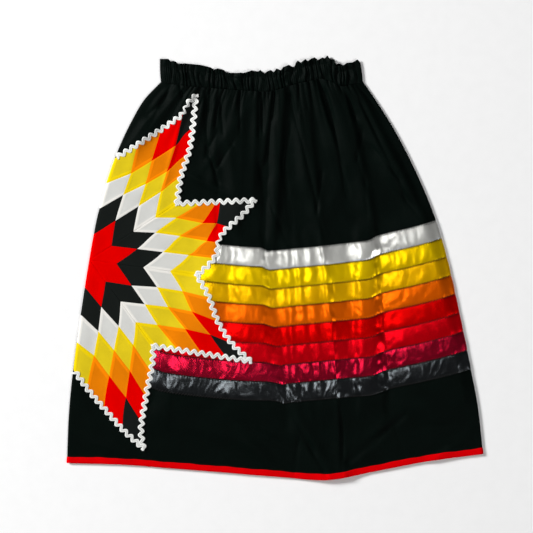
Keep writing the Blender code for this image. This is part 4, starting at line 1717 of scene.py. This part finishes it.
@dataclass
class WavyTrim:
    """The white wavy braid over the star's raw edge, one length for each leg."""

    lay: Lay
    star: Star
    finish: Material
    pitch: float = 15.0
    swing: float = 3.5
    half_width: float = 3.4
    reach_past: float = 4.0
    fold_gap: float = 3.0
    cap: float = 4.5
    height: float = 1.35
    thickness: float = 1.15
    back_strength: float = 0.42
    lap: float = 0.5
    lap_reach: float = 0.8
    least_square: float = 0.01
    twist_share: float = 0.45
    twist_spread: float = 9.0
    samples: int = 14
    section: tuple[tuple[float, float], ...] = (
        (0.0, 0.0), (0.0, 0.55), (0.10, 0.92), (0.28, 1.0), (0.5, 0.62), (0.72, 1.0),
        (0.90, 0.92), (1.0, 0.55), (1.0, 0.0), (0.0, 0.0))

    def build(self) -> None:
        """Build the trim on both sides."""
        for side in Side:
            lengths = [self.build_length(side, number, leg)
                       for number, leg in enumerate(self.star.legs())]
            trim = join_pieces(f"rickrack_{side.value}_braid", lengths)
            dress(trim, [self.finish], "rickrack", f"rickrack_{side.value}")

    def base_line(self, number: int, leg: Array) -> tuple[Array, Array]:
        """Middle of the trim along a leg, run past its ends and kept off the fold.

        Args:
            number: Number of the leg from the top.
            leg: The leg's line in plan.

        Returns:
            Lengths along the leg, and the plan points there.
        """
        length = run_lengths(leg)[-1]
        last = 2 * self.star.arms - 1
        start = self.fold_gap if number == 0 else -self.reach_past
        end = length - self.fold_gap if number == last else length + self.reach_past
        at = np.linspace(start, end, round(length / self.pitch) * self.samples + 1)
        base = points_at(leg, at)
        for past, heading in ((np.minimum(at, 0.0), leg[1] - leg[0]),
                              (np.maximum(at - length, 0.0), leg[-1] - leg[-2])):
            base += past[:, None] * heading / np.linalg.norm(heading)
        return at, base

    def edges(self, number: int, at: Array, base: Array) -> tuple[Array, Array]:
        """Waves of the trim's two edges, narrowed at its ends and twists.

        Args:
            number: Number of the leg, which sets where its waves start.
            at: Lengths along the leg.
            base: Plan points there.

        Returns:
            Distances of the inner and outer edge from the middle line.
        """
        turn = math.pi * (np.arange(len(at)) / self.samples + (number % 2) / 2.0)
        outer = self.half_width + self.swing * (2.0 * np.abs(np.sin(turn)) - 1.0)
        inner = -self.half_width - self.swing * (2.0 * np.abs(np.cos(turn)) - 1.0)
        rim = np.minimum(np.minimum(at - at[0], at[-1] - at) / self.cap, 1.0)
        narrow = np.sqrt(np.maximum(1.0 - (1.0 - rim) ** 2, self.least_square))
        for x, y in TRIM_TWISTS:
            far = np.hypot(base[:, 0] - x, base[:, 1] - y)
            narrow = narrow * (1.0 - self.twist_share * bell(far, self.twist_spread))
        middle = (outer + inner) / 2.0
        return middle + (inner - middle) * narrow, middle + (outer - middle) * narrow

    def build_length(self, side: Side, number: int, leg: Array) -> Thing:
        """Build the trim along one leg of the star.

        Args:
            side: Front or back.
            number: Number of the leg from the top.
            leg: The leg's line in plan.

        Returns:
            A closed length of braid.
        """
        at, base = self.base_line(number, leg)
        inner, outer = self.edges(number, at, base)
        run = np.gradient(base, axis=0)
        run /= np.linalg.norm(run, axis=1, keepdims=True)
        normal = np.stack([-run[:, 1], run[:, 0]], axis=-1)
        ring, rise = np.array(self.section).T
        last = len(at) - 1

        def place(a: Array, r: Array) -> Array:
            """Points of the braid's section at each station."""
            station, spot = np.rint(a).astype(int), np.rint(r).astype(int)
            across = inner[station] + (outer[station] - inner[station]) * ring[spot]
            plan = base[station] + normal[station] * across[:, None]
            end = np.minimum(station, last - station) / self.samples
            lap = self.lap * (number % 2) * bell(end, self.lap_reach)
            up = self.height + lap + rise[spot] * self.thickness
            up = up * side.pick(1.0, self.back_strength)
            return self.lay.at_plan(side, plan[:, 0], plan[:, 1], up)

        size = (run_lengths(leg)[-1] * MM, BRAID_MAP_WIDTH)
        thing = laid_net(f"trim_{number}_{side.value}", np.arange(len(at)),
                         np.arange(len(ring)), place, uv_size=size)
        with reshaped(thing.data) as braid:
            close_up(braid, reach=0.01)
        return thing


@dataclass
class Binding:
    """Red cotton folded over the hem and stitched near its upper edge."""

    lay: Lay
    finish: Material
    thread: Material
    height: float = 12.7
    columns: int = 420
    stitches: int = 1300
    stitch_drop: float = 2.6
    stitch_margin: float = 0.004
    stitch_points: float = 2.5
    stitch_lift: float = 0.62
    stitch_bob: float = 0.35
    thread_radius: float = 0.22
    section_points: int = 17
    section_powers: tuple[float, float] = (0.55, 0.6)
    middles: tuple[float, float] = (-0.2, -0.1)
    half_depths: tuple[float, float] = (1.1, 1.0)
    wobbles: tuple[tuple[float, float], ...] = ((0.0006, 61.0), (0.0004, 143.0))
    ripple: float = 0.12
    ripple_wave: float = 640.0
    ripple_share: float = 0.2
    ripple_spread: float = 0.15
    ripple_side: float = 0.3
    cut: tuple[float, float] = (0.832, 0.0127)

    def section(self) -> tuple[Array, Array]:
        """Closed section of the binding.

        Returns:
            Share down from its upper edge, and share of its depth, at each point round it.
        """
        turns = np.linspace(0.0, 2.0 * math.pi, self.section_points)
        flat, full = self.section_powers
        down = 0.5 - 0.5 * np.sign(np.cos(turns)) * np.abs(np.cos(turns)) ** flat
        return down, np.sign(np.sin(turns)) * np.abs(np.sin(turns)) ** full

    def build(self) -> None:
        """Build the binding and its stitching on both sides."""
        for side in Side:
            self.build_cloth(side)
            self.build_stitches(side)

    def build_cloth(self, side: Side) -> None:
        """Build the folded cloth on one side.

        Args:
            side: Front or back.
        """
        section_down, section_out = self.section()
        middle, half = side.pick(*self.middles), side.pick(*self.half_depths)

        def place(a: Array, s: Array) -> Array:
            """Points round the binding's section."""
            spot = np.rint(s).astype(int)
            share, out = section_down[spot], section_out[spot]
            wobble = sum(swing * np.sin(a * wave) for swing, wave in self.wobbles)
            down = 1.0 - (1.0 - share) * (self.height / self.lay.length - wobble)
            ripple = self.ripple * np.sin(a * self.ripple_wave)
            ripple *= bell(share - self.ripple_share, self.ripple_spread)
            ripple *= out > self.ripple_side
            return self.lay.on_cloth(side, a, down, middle + out * half + ripple)

        across = np.linspace(0.0, 1.0, self.columns + 1)
        name = f"binding_{side.value}_cloth"
        thing = laid_net(name, across, np.arange(len(section_down)), place)
        with reshaped(thing.data) as cloth:
            close_up(cloth, reach=0.01)
        dress(thing, [self.finish], "binding_red", f"binding_{side.value}")

    def build_stitches(self, side: Side) -> None:
        """Build the row of stitching on one side.

        Args:
            side: Front or back.
        """
        at = np.linspace(self.stitch_margin, 1.0 - self.stitch_margin, self.stitches)
        bob = np.sin(np.arange(self.stitches) * math.pi / self.stitch_points)
        share = 1.0 - (self.height - self.stitch_drop) / self.lay.length
        down = np.full(self.stitches, share)
        height = self.stitch_lift + self.stitch_bob * bob
        line = self.lay.on_cloth(side, at, down, height)
        rows = thread_tubes(f"binding_{side.value}_stitches", [line], self.thread_radius)
        dress(rows, [self.thread], "binding_red")


@dataclass
class Studio:
    """Pale floor, soft light and a camera straight above. Lengths here are in metres."""

    middle: tuple[float, float] = (-0.017, 0.004)
    frame_width: float = 1.066
    camera_height: float = 9.0
    sensor: float = 36.0
    floor_half: float = 6.0
    floor_drop: float = -0.0002
    surrounding: float = 0.07
    lights: tuple[tuple[str, Point, float, float], ...] = (
        # name, place, width, watts
        ("gloss", (-0.70, 0.14, 3.6), 0.5, 8.5),
        ("side", (-6.2, 2.8, 3.2), 1.8, 830.0),
        ("fill", (4.6, -2.8, 6.6), 3.2, 215.0),
    )

    def build(self) -> None:
        """Build the studio."""
        self.add_floor()
        for light in self.lights:
            self.add_light(*light)
        self.add_world()
        self.add_camera()

    def add_floor(self) -> None:
        """Add the pale floor just under the skirt."""
        mesh = bpy.data.meshes.new("studio_floor")
        with reshaped(mesh) as grid:
            bmesh.ops.create_grid(grid, x_segments=1, y_segments=1, size=self.floor_half)
            bmesh.ops.translate(grid, verts=grid.verts[:], vec=(0.0, 0.0, self.floor_drop))
        floor = bpy.data.objects.new("studio_floor", mesh)
        bpy.context.scene.collection.objects.link(floor)
        mesh.materials.append(FLOOR_PAPER.make())

    def add_light(self, name: str, spot: Point, size: float, power: float) -> None:
        """Add a square soft light that looks at the skirt.

        Args:
            name: Name of the light.
            spot: Its place.
            size: Its width.
            power: Its power in watts.
        """
        data = bpy.data.lights.new(name, "AREA")
        data.shape, data.size, data.energy = "SQUARE", size, power
        light = bpy.data.objects.new(name, data)
        light.location = spot
        light.rotation_mode = "QUATERNION"
        light.rotation_quaternion = (-Vector(spot)).to_track_quat("-Z", "Y")
        bpy.context.scene.collection.objects.link(light)

    def add_world(self) -> None:
        """Set an even pale surrounding."""
        world = bpy.data.worlds.new("studio_world")
        world.use_nodes = True
        colour = {"Color": (1.0, 1.0, 1.0, 1.0), "Strength": self.surrounding}
        fill_inputs(world.node_tree, world.node_tree.nodes["Background"], colour)
        bpy.context.scene.world = world
        bpy.context.scene.view_settings.view_transform = "Standard"

    def add_camera(self) -> None:
        """Add the camera, straight above, with a long lens."""
        data = bpy.data.cameras.new("overhead")
        data.sensor_width = self.sensor
        data.lens = self.sensor * self.camera_height / self.frame_width
        data.clip_end = 100.0
        camera = bpy.data.objects.new("overhead", data)
        camera.location = (*self.middle, self.camera_height)
        bpy.context.scene.collection.objects.link(camera)
        bpy.context.scene.camera = camera


def main() -> None:
    """Build the skirt and its studio."""
    logging.basicConfig(level=logging.INFO, format="%(message)s")
    lay = Lay()
    black, red = BLACK_COTTON.make(), BINDING_COTTON.make()
    black_thread, red_thread = BLACK_THREAD.make(), RED_THREAD.make()
    satins = {name: finish.make() for name, finish in SATINS.items()}
    star = Star(lay, [finish.make() for finish in PATCH_COTTONS])
    Panels(lay, black).build()
    Casing(lay, black, CASING_THREAD.make()).build()
    Ribbons(lay, satins, black_thread).build()
    star.build()
    WavyTrim(lay, star, WHITE_BRAID.make()).build()
    Binding(lay, red, red_thread).build()
    Studio().build()


if __name__ == "__main__":
    main()
